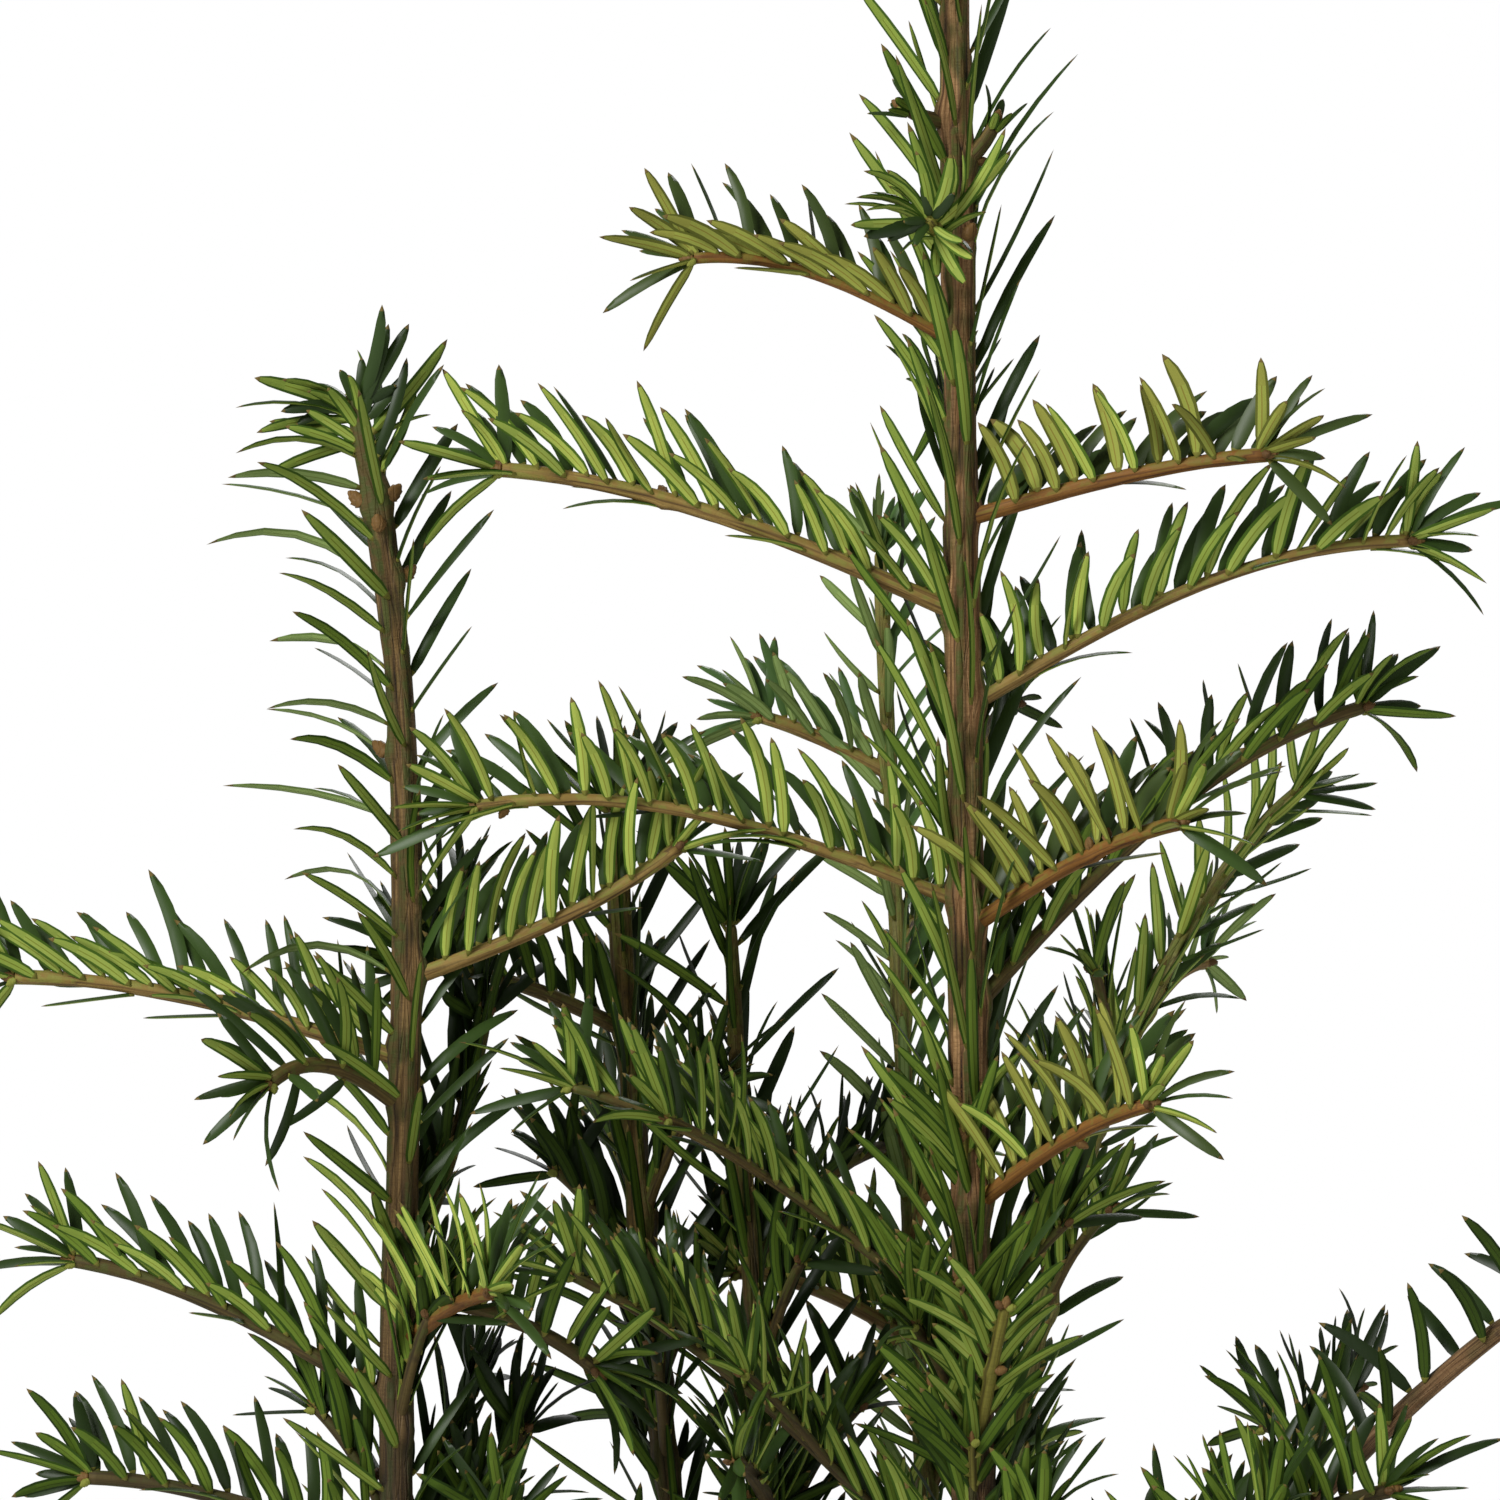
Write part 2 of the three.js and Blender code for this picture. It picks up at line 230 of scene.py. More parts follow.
TRUNK = Limb(
    "trunk", ((0, 0, 0), (1.5, 0, 190), (-3.5, 0, 450), (-5.5, 0, 640)), (5.6, 3.0), flare_width=3.6
)
LEFT_BOUGH = Limb("left-bough", ((0, 0, 50), (-40, 1, 95), (-98, 0, 158), (-109, 0, 214)), (4.7, 4.0))
LEFT_LEADER = Limb(
    "left-leader", ((-109.1, 0, 214.4), (-129, 0, 315), (-101, 0, 420), (-125, 0, 520)), (4.0, 2.8)
)
MIDDLE_LEFT = Limb(
    "middle-left-leader", ((0, 0, 88), (-42, 25, 150), (-66, 42, 260), (-74, 40, 440)), (3.8, 2.4)
)
MIDDLE = Limb("middle-leader", ((0, 0, 112), (-22, 24, 175), (-44, 38, 260), (-50, 35, 416)), (2.6, 1.6))
BACK = Limb("back-leader", ((0, 0, 66), (-4, 40, 190), (-12, 80, 340), (-18, 105, 494)), (3.0, 1.5))
BACK_RIGHT = Limb(
    "back-right-leader", ((0, 0, 130), (-10, 40, 250), (14, 90, 390), (75, 125, 442)), (3.2, 1.5)
)
RIGHT_BOUGH = Limb(
    "right-bough", ((0, 0, 205), (26, -10, 252), (66, -20, 318), (126, -22, 352)), (3.2, 1.9)
)
LIMBS = (TRUNK, LEFT_BOUGH, LEFT_LEADER, MIDDLE_LEFT, MIDDLE, BACK, BACK_RIGHT, RIGHT_BOUGH)


# ---- Colours -------------------------------------------------------------------------------------------


class Part(Enum):
    """The parts of a needle whose colour goes with its tint."""

    UPPER = 0
    BAND = 1
    MIDRIB = 2
    MARGIN = 3
    OUTER = 4


@dataclass(frozen=True)
class Tint:
    """The colours of one spray's needles, as sRGB from 0 to 255."""

    name: str
    upper: Colour
    band: Colour
    midrib: Colour
    margin: Colour
    outer: Colour

    def colours(self) -> tuple[Colour, ...]:
        """Gives the colours in the order of Part."""
        return (self.upper, self.band, self.midrib, self.margin, self.outer)


# The first two tints are darker copies of the needles' colours: painted shade, given to the sprays at the
# back of the shrub, low down and on its inner leaders.
TINTS = (
    Tint("shade", (25, 38, 13), (49, 67, 18), (39, 53, 13), (27, 42, 9), (44, 61, 16)),
    Tint("half-shade", (29, 44, 14), (67, 88, 24), (53, 69, 18), (32, 50, 12), (60, 80, 22)),
    Tint("deep", (35, 51, 17), (91, 112, 38), (73, 88, 27), (44, 65, 16), (84, 105, 35)),
    Tint("mid", (41, 59, 22), (118, 135, 56), (95, 105, 34), (53, 76, 21), (109, 127, 51)),
    Tint("fresh", (47, 67, 25), (134, 149, 68), (110, 118, 42), (60, 85, 24), (124, 140, 61)),
    Tint("bright", (50, 70, 28), (149, 162, 73), (127, 129, 50), (69, 94, 28), (138, 151, 66)),
    Tint("olive", (52, 66, 28), (130, 136, 60), (116, 107, 44), (82, 86, 32), (126, 127, 56)),
    Tint("young", (66, 92, 46), (124, 144, 82), (106, 122, 62), (90, 110, 56), (114, 134, 76)),
)
SHADE, HALF_SHADE, DEEP, MID, FRESH, BRIGHT, OLIVE, YOUNG = range(len(TINTS))
NEEDLE_TIP: Colour = (94, 80, 42)
NEEDLE_FOOT: Colour = (104, 102, 44)


def linear(colour: Colour) -> tuple[float, float, float, float]:
    """Turns an sRGB colour into the linear one that a shader takes."""
    share = np.array(colour) / 255
    low, high = share / 12.92, ((share + 0.055) / 1.055) ** 2.4
    return (*(float(v) for v in np.where(share <= 0.04045, low, high)), 1.0)


# ---- The plan of the sprays ----------------------------------------------------------------------------


class Habit(Enum):
    """How a side shoot bears its needles."""

    RANKED = "two ranks turned up"
    ROSETTE = "all round a short shoot"
    STUB = "a few scales on a dwarf shoot"
    FLAT = "two flat ranks of long needles on a steep shoot"


@dataclass(frozen=True)
class SprayPlan:
    """Where a side spray stands on its limb, which way it grows and what it bears.

    Forks, hanging and buds are shares of the twig's length, at which side twigs, hanging needles and buds
    leave it. Lean is how far its needles tip from upright towards its end, at its foot and at its tip, and
    apart half of what those of the front rank do more than the back ones. Size, curl, spread, broad and
    stout are shares of their usual length and bend, of the step between them, of their breadth and of the
    twig's thickness.
    """

    height: float
    azimuth: float
    length: float
    rise_foot: float
    rise_tip: float
    tint: int = MID
    forks: tuple[float, ...] = ()
    hanging: tuple[float, ...] = ()
    buds: tuple[float, ...] = ()
    lean: Range = (8.0, 24.0)
    apart: float = 6.0
    size: float = 1.0
    curl: float = 1.0
    spread: float = 1.0
    broad: float = 1.0
    stout: float = 1.0
    habit: Habit = Habit.RANKED


@dataclass(frozen=True)
class SpiralRule:
    """Sprays that each stand a step higher and a turn further round than the last."""

    start: float
    step: float
    count: int
    azimuth: float
    turn: float
    length: float
    shorten: float
    rise: Range = (36.0, 0.0)
    forks: tuple[float, ...] = (0.42, 0.3, 0.54, 0.66, 0.78)
    tints: tuple[int, ...] = (DEEP, MID, HALF_SHADE)
    stout: float = 0.85

    def plans(self) -> list[SprayPlan]:
        """Gives the plan of each spray."""
        return [
            SprayPlan(
                self.start + i * self.step,
                self.azimuth + i * self.turn,
                self.length - i * self.shorten,
                *self.rise,
                tint=self.tints[i % len(self.tints)],
                forks=self.forks,
                stout=self.stout,
            )
            for i in range(self.count)
        ]


class Side(Enum):
    """What of a needle faces forward."""

    UNDER = "its lower side"
    UPPER = "its upper side"
    EDGE = "its edge"


class Placed(NamedTuple):
    """One needle of a tuft seen from the front: its turn and length, what of it faces forward, and how far
    below the tip its foot stands.
    """

    turn: float
    length: float
    side: Side
    below: float


def tuft(*rows: tuple[float, float, Side, float]) -> tuple[Placed, ...]:
    """Lists the needles of a tuft."""
    return tuple(Placed(*row) for row in rows)


UNDER, UPPER, EDGE = Side
ROSETTE = tuft(
    (100, 16, UNDER, 1), (62, 16, UNDER, 1), (75, 15, EDGE, 2.5), (33, 20, UNDER, 3), (43, 24, UNDER, 5.5),
    (77, 17, EDGE, 8), (179, 18, UNDER, 1), (194, 15, UPPER, 0.5), (198, 9, UPPER, 0.5),
    (225, 7, UPPER, 0.5), (162, 17, EDGE, 1.5), (165, 13, EDGE, 2.5), (157, 14, EDGE, 2),
    (141, 16, EDGE, 1), (117, 13, UNDER, 1), (290, 12, UNDER, 4), (308, 11, UNDER, 3),
    (313, 8, UNDER, 2), (85, 17, EDGE, 6),
    (150, 14, EDGE, 4), (172, 13, EDGE, 5), (20, 12, EDGE, 6), (52, 18, EDGE, 9), (128, 12, EDGE, 5),
    (205, 9, EDGE, 6), (95, 7, UPPER, 0), (180, 6, UPPER, 0), (40, 7, UPPER, 0), (260, 9, UNDER, 7),
    (330, 9, EDGE, 6),
)
PARTED_TUFT = tuft(
    (58, 19, UNDER, 15), (64, 22, UPPER, 12), (178, 24, EDGE, 11), (152, 15, UNDER, 10), (30, 13, EDGE, 9),
    (190, 17, UNDER, 8), (50, 24, UNDER, 7), (165, 17, UNDER, 6), (44, 14, UPPER, 4), (184, 21, UNDER, 3.5),
    (172, 25, EDGE, 3), (138, 12, UNDER, 3), (171, 15, UPPER, 1.5), (160, 20, UNDER, 1), (61, 16, UPPER, 1),
    (67, 19, UPPER, 0.5), (54, 19, UPPER, 0.5), (156, 16, EDGE, 0.5), (78, 9, UPPER, 0), (86, 11, EDGE, 0),
    (124, 7, UPPER, 0), (150, 10, EDGE, 0), (104, 7, UPPER, 0), (196, 11, UPPER, 0), (20, 8, UPPER, 0.5),
    (60, 12, UNDER, 0), (118, 11, UNDER, 5), (140, 13, UNDER, 8), (95, 8, UNDER, 2), (70, 9, UPPER, 3),
)


@dataclass(frozen=True)
class Flank:
    """How a leader's needles stand on its left or right.

    Rise is their angle above the plane across the leader, face how far the blade turns round to the front,
    arch how far it bows, as a share of its length, and size their share of the usual length.
    """

    rise: float = 57.0
    face: Range = (0.5, 1.8)
    arch: Range = (-0.02, 0.07)
    size: float = 1.0
    pale: bool = False


@dataclass(frozen=True)
class LeaderRule:
    """The needles that stand on a leader itself, all round it, from a height to its tip.

    Sweep leans those at its front sideways, and the crown is a tuft whose needles each have their own
    place. Those on the left below the height low_to stand as the low flank says.
    """

    start: float
    left: Flank = Flank()
    right: Flank = Flank()
    low: Flank = Flank()
    low_to: float = 0.0
    front_rise: float = 76.0
    tint: int = DEEP
    step: float = 2.45
    crowding: float = 1.2
    size: float = 1.0
    sweep: float = 0.0
    ranked: bool = False
    crown: tuple[Placed, ...] = ()


class Age(Enum):
    """The barks of the limbs: three by their age, and one darker bark that paints the shade on the leaders
    inside the shrub.
    """

    OLD = "brown"
    DULL = "dull brown"
    SHADED = "dark"
    YOUNG = "tan"


@dataclass(frozen=True)
class Leader:
    """A limb with the needles, sprays and finer shoots that it carries."""

    limb: Limb
    rule: LeaderRule | None
    sprays: tuple[SprayPlan, ...]
    lower: SpiralRule | None = None
    fine: SpiralRule | None = None
    shoots: tuple[SprayPlan, ...] = ()
    buds: tuple[tuple[float, float], ...] = ()
    age: Age = Age.OLD

    def plans(self) -> list[SprayPlan]:
        """Gives the sprays that the frame has too, in the order of its nodes."""
        return [*self.sprays, *(self.lower.plans() if self.lower else ())]

    def finer(self) -> list[SprayPlan]:
        """Gives the finer shoots that grow among them."""
        return [*self.shoots, *(self.fine.plans() if self.fine else ())]

    def nodes(self) -> list[str]:
        """Names the frame's nodes that its sprays stand for."""
        return [f"{self.limb.name}-spray-{i + 1:02d}" for i in range(len(self.plans()))]


def short_shoots(
    start: float, step: float, count: int, azimuth: float, length: float, tint: int
) -> SpiralRule:
    """Plans steep short side shoots up a leader."""
    return SpiralRule(
        start, step, count, azimuth, GOLDEN_ANGLE, length, 0.0, (64.0, 40.0), (), (tint,), 0.7
    )


LEADERS = (
    Leader(
        TRUNK,
        LeaderRule(
            150, Flank(58), Flank(63, (0.1, 1.2), (0.0, 0.07), 1.08),
            tint=MID, step=2.0, crowding=0.75, sweep=-0.2,
        ),
        (
            SprayPlan(543, 250, 22, 36, 24, FRESH, stout=0.62, habit=Habit.ROSETTE),
            SprayPlan(531, 188, 57, 29, -6, OLIVE, lean=(28, 38), apart=28, size=0.9, curl=1.2, stout=0.75),
            SprayPlan(505, 92, 55, 28, 0, HALF_SHADE),
            SprayPlan(
                496, 335, 66, 14, 3, OLIVE, lean=(2, 12), apart=-16, size=0.82, curl=1.6, spread=0.94,
                broad=1.28,
            ),
            SprayPlan(
                477, 183, 97, 24, 4, BRIGHT, hanging=(0.66,), buds=(0.66, 0.7), lean=(10, 34), stout=1.1
            ),
            SprayPlan(
                458, 354, 96, 31, 0, FRESH, hanging=(0.16, 0.92), lean=(-12, 34), apart=2, broad=1.08,
                stout=0.88,
            ),
            SprayPlan(440, 78, 62, 28, 0, HALF_SHADE),
            SprayPlan(
                419, 189, 102, 22, -10, BRIGHT, hanging=(0.35, 0.9), buds=(0.94,), lean=(16, 30), apart=-8,
                stout=0.86,
            ),
            SprayPlan(
                414, 318, 58, 28, 10, OLIVE, buds=(0.62,), lean=(-12, 14), apart=-12, size=1.08, curl=1.3,
                spread=0.8, broad=1.12,
            ),
            SprayPlan(397, 20, 108, 46, 14, DEEP, hanging=(0.6,), lean=(-8, 18), apart=14),
            SprayPlan(
                358, 314, 54, 32, 12, OLIVE, buds=(0.6,), lean=(-20, 18), apart=-12, size=1.04, curl=1.2,
                spread=0.82, broad=1.1,
            ),
            SprayPlan(
                332, 184, 96, 41, 15, MID, forks=(0.55,), lean=(18, 12), apart=2, spread=0.86, broad=0.84,
                stout=0.7,
            ),
            SprayPlan(306, 283, 42, 58, 50, MID, buds=(0.6,), stout=0.8, habit=Habit.FLAT),
            SprayPlan(
                276, 190, 108, 48, 26, MID, forks=(0.4, 0.62), lean=(16, 12), apart=2, spread=0.86,
                broad=0.84, stout=0.72,
            ),
            SprayPlan(256, 337, 100, 38, 14, DEEP, forks=(0.4, 0.62), lean=(-14, 4), apart=-8),
        ),
        SpiralRule(78, 35, 5, 285, GOLDEN_ANGLE, 116, 5, tints=(HALF_SHADE, DEEP, HALF_SHADE)),
        fine=short_shoots(232, 19, 6, 40, 34, DEEP),
        shoots=(
            SprayPlan(575, 190, 11, 10, 30, DEEP, habit=Habit.STUB),
            SprayPlan(566, 350, 12, 40, 70, MID, habit=Habit.STUB),
            SprayPlan(356, 255, 24, 74, 62, DEEP, stout=0.5, habit=Habit.FLAT),
            SprayPlan(322, 250, 24, 70, 60, DEEP, stout=0.5, habit=Habit.FLAT),
            SprayPlan(300, 225, 26, 66, 56, DEEP, stout=0.5, habit=Habit.FLAT),
            SprayPlan(290, 265, 24, 72, 60, HALF_SHADE, stout=0.5, habit=Habit.FLAT),
        ),
        buds=((552, 300), (438, 200), (372, 250)),
    ),
    Leader(LEFT_BOUGH, None, (), SpiralRule(112, 31, 4, 235, 170, 98, 7, tints=(DEEP, HALF_SHADE))),
    Leader(
        LEFT_LEADER,
        LeaderRule(
            232, Flank(20, (0.3, 1.0), (0.09, 0.2), 0.96, pale=True),
            Flank(50, (0.4, 1.6), (0.0, 0.08), 0.84), Flank(52, (0.6, 1.7), (0.0, 0.09), 0.9), 396,
            front_rise=42, tint=MID, step=2.65, sweep=-0.45, crown=PARTED_TUFT,
        ),
        (
            SprayPlan(404, 355, 61, 20, 38, BRIGHT, lean=(8, 2), apart=0, curl=0.7),
            SprayPlan(400, 75, 42, 30, 15, SHADE),
            SprayPlan(388, 180, 80, 18, 0, FRESH, hanging=(0.45, 0.7), lean=(14, 44), apart=14, broad=0.94),
            SprayPlan(378, 225, 38, 33, -34, MID, hanging=(0.45, 0.8), lean=(-8, 60), apart=0, size=1.18),
            SprayPlan(340, 50, 62, 60, 76, SHADE),
            SprayPlan(342, 345, 44, -10, -40, DEEP),
            SprayPlan(
                330, 298, 46, 24, 8, BRIGHT, lean=(-30, 24), apart=-10, size=1.04, curl=1.1, spread=0.74
            ),
            SprayPlan(319, 178, 71, 31, 10, MID, lean=(6, 38), apart=8, broad=0.94),
            SprayPlan(288, 183, 64, 22, 2, DEEP, lean=(-4, 24), apart=2),
        ),
        fine=short_shoots(270, 21, 4, 20, 32, HALF_SHADE),
        shoots=(
            SprayPlan(276, 28, 46, 50, 58, SHADE, stout=0.6),
            SprayPlan(290, 62, 44, 40, 52, SHADE, stout=0.6),
            SprayPlan(262, 350, 40, 52, 66, HALF_SHADE, stout=0.6),
        ),
        buds=((499, 205), (500, 340), (494, 270), (484, 10), (449, 180)),
        age=Age.DULL,
    ),
    Leader(
        MIDDLE_LEFT,
        LeaderRule(235, Flank(42), Flank(46), tint=HALF_SHADE),
        (SprayPlan(392, 205, 48, 25, 0, HALF_SHADE), SprayPlan(352, 100, 70, 28, 0, SHADE)),
        fine=short_shoots(250, 17, 8, 210, 34, SHADE),
        age=Age.SHADED,
    ),
    Leader(
        MIDDLE,
        LeaderRule(225, Flank(44), Flank(48), tint=HALF_SHADE),
        (SprayPlan(292, 262, 62, 22, 8, MID), SprayPlan(345, 60, 60, 28, 4, SHADE)),
        fine=short_shoots(240, 16, 7, 330, 32, HALF_SHADE),
        age=Age.SHADED,
    ),
    Leader(
        BACK,
        LeaderRule(215, Flank(46), Flank(50), tint=YOUNG, size=0.68, step=3.0),
        (
            SprayPlan(445, 175, 30, 28, 15, YOUNG, size=0.85, broad=0.9),
            SprayPlan(392, 85, 60, 30, 0, FRESH),
            SprayPlan(325, 215, 50, 28, 4, FRESH),
        ),
        fine=short_shoots(240, 26, 5, 100, 28, FRESH),
        age=Age.YOUNG,
    ),
    Leader(
        BACK_RIGHT,
        LeaderRule(270, Flank(46), Flank(40), tint=FRESH, size=0.68, step=3.0),
        (SprayPlan(392, 60, 34, 30, 0, YOUNG), SprayPlan(368, 85, 56, 26, 0, MID)),
        fine=short_shoots(280, 25, 5, 60, 28, MID),
        age=Age.YOUNG,
    ),
    Leader(
        RIGHT_BOUGH,
        LeaderRule(255, tint=HALF_SHADE, ranked=True),
        (),
        SpiralRule(262, 34, 2, 300, 130, 66, 8, forks=(0.42,), tints=(HALF_SHADE, HALF_SHADE)),
    ),
)


# ---- Finishes ------------------------------------------------------------------------------------------


class NodeSetup:
    """Short calls for adding and joining shader nodes in one tree."""

    mix_inputs = (0, 6, 7)
    mix_output = 2

    def __init__(self, tree: bpy.types.NodeTree) -> None:
        """Takes the tree to add to."""
        self.tree = tree

    def feed(self, target: Socket, value: object) -> None:
        """Joins a socket to an input, or sets the input to a plain value."""
        if isinstance(value, Socket):
            self.tree.links.new(value, target)
        else:
            target.default_value = value

    def fill(self, node: bpy.types.Node, **inputs: object) -> None:
        """Feeds a node's inputs, each by its name with _ for a space."""
        for name, value in inputs.items():
            self.feed(node.inputs[name.replace("_", " ")], value)

    def add(self, kind: str, **inputs: object) -> bpy.types.Node:
        """Adds a node of a Blender type and fills its inputs."""
        node = self.tree.nodes.new(kind)
        self.fill(node, **inputs)
        return node

    def attribute(self, name: str) -> bpy.types.Node:
        """Adds a node that reads one of the mesh's attributes."""
        node = self.add("ShaderNodeAttribute")
        node.attribute_name = name
        return node

    def math(self, operation: str, first: Socket, second: Socket | float) -> Socket:
        """Adds one operation on two numbers and gives its result."""
        node = self.add("ShaderNodeMath")
        node.operation = operation
        self.feed(node.inputs[0], first)
        self.feed(node.inputs[1], second)
        return node.outputs[0]

    def ranged(self, value: Socket, start: float, end: float, first: float, last: float) -> Socket:
        """Turns the numbers from start to end into those from first to last, and gives the result."""
        names = {"From_Min": start, "From_Max": end, "To_Min": first, "To_Max": last}
        return self.add("ShaderNodeMapRange", Value=value, **names).outputs[0]

    def ramp(self, value: Socket, stops: Sequence[tuple[float, Colour]]) -> Socket:
        """Adds a colour ramp and gives its colour."""
        node = self.add("ShaderNodeValToRGB", Fac=value)
        elements = node.color_ramp.elements
        for element, (position, colour) in zip(list(elements), (stops[0], stops[-1])):
            element.position, element.color = position, linear(colour)
        for position, colour in stops[1:-1]:
            elements.new(position).color = linear(colour)
        return node.outputs["Color"]

    def blend(self, share: Socket, first: Socket, second: Socket | Colour) -> Socket:
        """Mixes two colours, the second a socket or a plain colour, and gives the result."""
        node = self.add("ShaderNodeMix")
        node.data_type = "RGBA"
        second = second if isinstance(second, Socket) else linear(second)
        for index, value in zip(self.mix_inputs, (share, first, second)):
            self.feed(node.inputs[index], value)
        return node.outputs[self.mix_output]

    def grain(
        self, group: bpy.types.NodeTree, place: Socket, scale: float, relief: float
    ) -> bpy.types.NodeOutputs:
        """Adds the shared grain at a scale and relief, and gives its masks and its normal."""
        node = self.add("ShaderNodeGroup")
        node.node_tree = group
        self.fill(node, Vector=place, Scale=scale, Relief=relief)
        return node.outputs


def new_material(name: str) -> tuple[bpy.types.Material, NodeSetup, bpy.types.Node]:
    """Starts a material, and gives it with the setup of its nodes and its shader."""
    mat = bpy.data.materials.new(name)
    mat.use_nodes = True
    return mat, NodeSetup(mat.node_tree), mat.node_tree.nodes["Principled BSDF"]


def grain_group() -> bpy.types.NodeTree:
    """Builds the shared grain: streaks that follow a limb, as masks and a normal.

    Returns:
        A node group with Streak, Spot, Patch, Crack, Wrinkle and Normal outputs.
    """
    group = bpy.data.node_groups.new("StreakedGrain", "ShaderNodeTree")
    masks = ("Streak", "Spot", "Patch", "Crack", "Wrinkle")
    for side, names, kind in (
        ("INPUT", ("Vector",), "Vector"),
        ("INPUT", ("Scale", "Relief"), "Float"),
        ("OUTPUT", masks, "Float"),
        ("OUTPUT", ("Normal",), "Vector"),
    ):
        for name in names:
            group.interface.new_socket(name, in_out=side, socket_type=f"NodeSocket{kind}")
    make = NodeSetup(group)
    ins = make.add("NodeGroupInput").outputs
    scaled = make.add("ShaderNodeVectorMath")
    scaled.operation = "SCALE"
    make.feed(scaled.inputs[0], ins["Vector"])
    make.fill(scaled, Scale=ins["Scale"])
    place = scaled.outputs[0]

    def stretched(*scale: float) -> Socket:
        """Stretches the places along each axis."""
        return make.add("ShaderNodeMapping", Vector=place, Scale=scale).outputs[0]

    def cloud(at: Socket, scale: float, detail: float) -> Socket:
        """Adds noise at some places and gives it."""
        return make.add("ShaderNodeTexNoise", Vector=at, Scale=scale, Detail=detail).outputs["Fac"]

    streak = cloud(stretched(1.0, 1.0, 0.035), 1.0, 3.0)
    spot = cloud(place, 0.3, 3.0)
    patch = cloud(place, 0.06, 2.0)
    plates = make.add("ShaderNodeTexVoronoi", Vector=stretched(1.0, 1.0, 0.1), Scale=0.62)
    plates.feature = "DISTANCE_TO_EDGE"
    crack = make.ranged(plates.outputs["Distance"], 0.0, 0.12, 1.0, 0.0)
    wrinkle = cloud(stretched(0.28, 0.28, 1.5), 1.0, 2.0)
    height = make.math("SUBTRACT", make.math("ADD", streak, wrinkle), crack)
    bump = make.add("ShaderNodeBump", Height=height, Distance=0.0003, Strength=ins["Relief"])
    outs = dict(zip(masks, (streak, spot, patch, crack, wrinkle)), Normal=bump.outputs["Normal"])
    make.add("NodeGroupOutput", **outs)
    return group


@dataclass(frozen=True)
class BarkFinish:
    """Bark: streaked wood colour over the stem, another on the needles' ridges, dark beside them.

    Cracked and wrinkled are how much cracks and wrinkles darken it. Low on the shrub it also darkens
    towards its
    crack colour: painted shade, standing in for the shade that the foliage casts on the low wood. The three
    settings after wrinkled give how dark that painted shade grows, the height where it begins and the
    height where it is full, both in metres.
    """

    name: str
    crack: Colour
    brown: Colour
    pale: Colour
    ridge: Colour
    ridge_brown: Colour
    scale: float = 1.5
    relief: float = 0.6
    rough: float = 0.7
    cracked: float = 0.12
    wrinkled: float = 0.5
    painted_shade: float = 0.6
    painted_shade_from: float = 0.375
    painted_shade_below: float = 0.305
    roughest: float = 0.95
    specular: float = 0.3

    def material(self, group: bpy.types.NodeTree) -> bpy.types.Material:
        """Builds the material.

        Args:
            group: The shared grain.

        Returns:
            The material.
        """
        mat, make, shader = new_material(self.name)
        crack = self.crack
        raised = make.attribute("ridge").outputs["Fac"]
        grain = make.grain(group, make.attribute("grain").outputs["Vector"], self.scale, self.relief)
        streak = grain["Streak"]
        wood = make.ramp(streak, ((0.28, crack), (0.42, self.brown), (0.64, self.pale)))
        wood = make.blend(make.ranged(grain["Wrinkle"], 0.52, 0.36, 0.0, self.wrinkled), wood, self.brown)
        mossy = make.ramp(streak, ((0.30, crack), (0.5, self.ridge_brown), (0.72, self.ridge)))
        wood = make.blend(make.ranged(grain["Patch"], 0.5, 0.64, 0.0, 1.0), wood, mossy)
        ridge = make.ramp(grain["Spot"], ((0.42, self.ridge_brown), (0.55, self.ridge)))
        colour = make.blend(make.ranged(raised, 0.3, 0.62, 0.0, 1.0), wood, ridge)
        beside = make.ramp(raised, ((0.10, (0, 0, 0)), (0.24, (200, 200, 200)), (0.42, (0, 0, 0))))
        colour = make.blend(beside, colour, crack)
        colour = make.blend(make.math("MULTIPLY", grain["Crack"], self.cracked), colour, crack)
        # Painted shade: below a height the bark darkens towards its crack colour, for the shade of the
        # foliage above.
        place = make.add("ShaderNodeTexCoord").outputs["Object"]
        height = make.add("ShaderNodeSeparateXYZ", Vector=place).outputs["Z"]
        age = make.ranged(height, self.painted_shade_from, self.painted_shade_below, 0.0, self.painted_shade)
        colour = make.blend(age, colour, crack)
        rough = make.ranged(streak, 0.0, 1.0, self.roughest, self.rough - 0.1)
        make.fill(shader, Base_Color=colour, Roughness=rough, Normal=grain["Normal"])
        make.fill(shader, Specular_IOR_Level=self.specular)
        return mat


def twig_bark(name: str, *colours: Colour, rough: float = 0.6) -> BarkFinish:
    """Plans a twig's bark, finer and smoother than a limb's and without cracks."""
    # Twigs take a weaker painted shade low on the shrub than the limbs do.
    return BarkFinish(
        f"Bark-twig-{name}", *colours, scale=1.3, relief=0.2, rough=rough, cracked=0.0, wrinkled=0.3,
        painted_shade=0.5,
    )


LIMB_BARKS = {
    Age.OLD: BarkFinish(
        "Bark-old", (34, 23, 11), (106, 74, 40), (154, 120, 78), (72, 74, 26), (84, 68, 30)
    ),
    Age.DULL: BarkFinish(
        "Bark-dull", (28, 20, 9), (84, 62, 30), (122, 96, 54), (62, 66, 22), (72, 60, 24)
    ),
    # Painted shade: a darker bark for the leaders that stand inside the shrub, in the shade of its foliage.
    Age.SHADED: BarkFinish(
        "Bark-shade-painted", (36, 30, 9), (78, 61, 22), (112, 88, 38), (74, 74, 18), (73, 60, 18)
    ),
    Age.YOUNG: BarkFinish(
        "Bark-young", (70, 64, 34), (114, 104, 54), (148, 144, 84), (106, 112, 50), (112, 104, 48),
        # Young bark takes only a little of the painted shade low down.
        painted_shade=0.2,
    ),
}
TWIG_OLIVE = twig_bark("olive", (58, 43, 18), (105, 80, 36), (144, 119, 64), (112, 108, 44), (117, 95, 42))
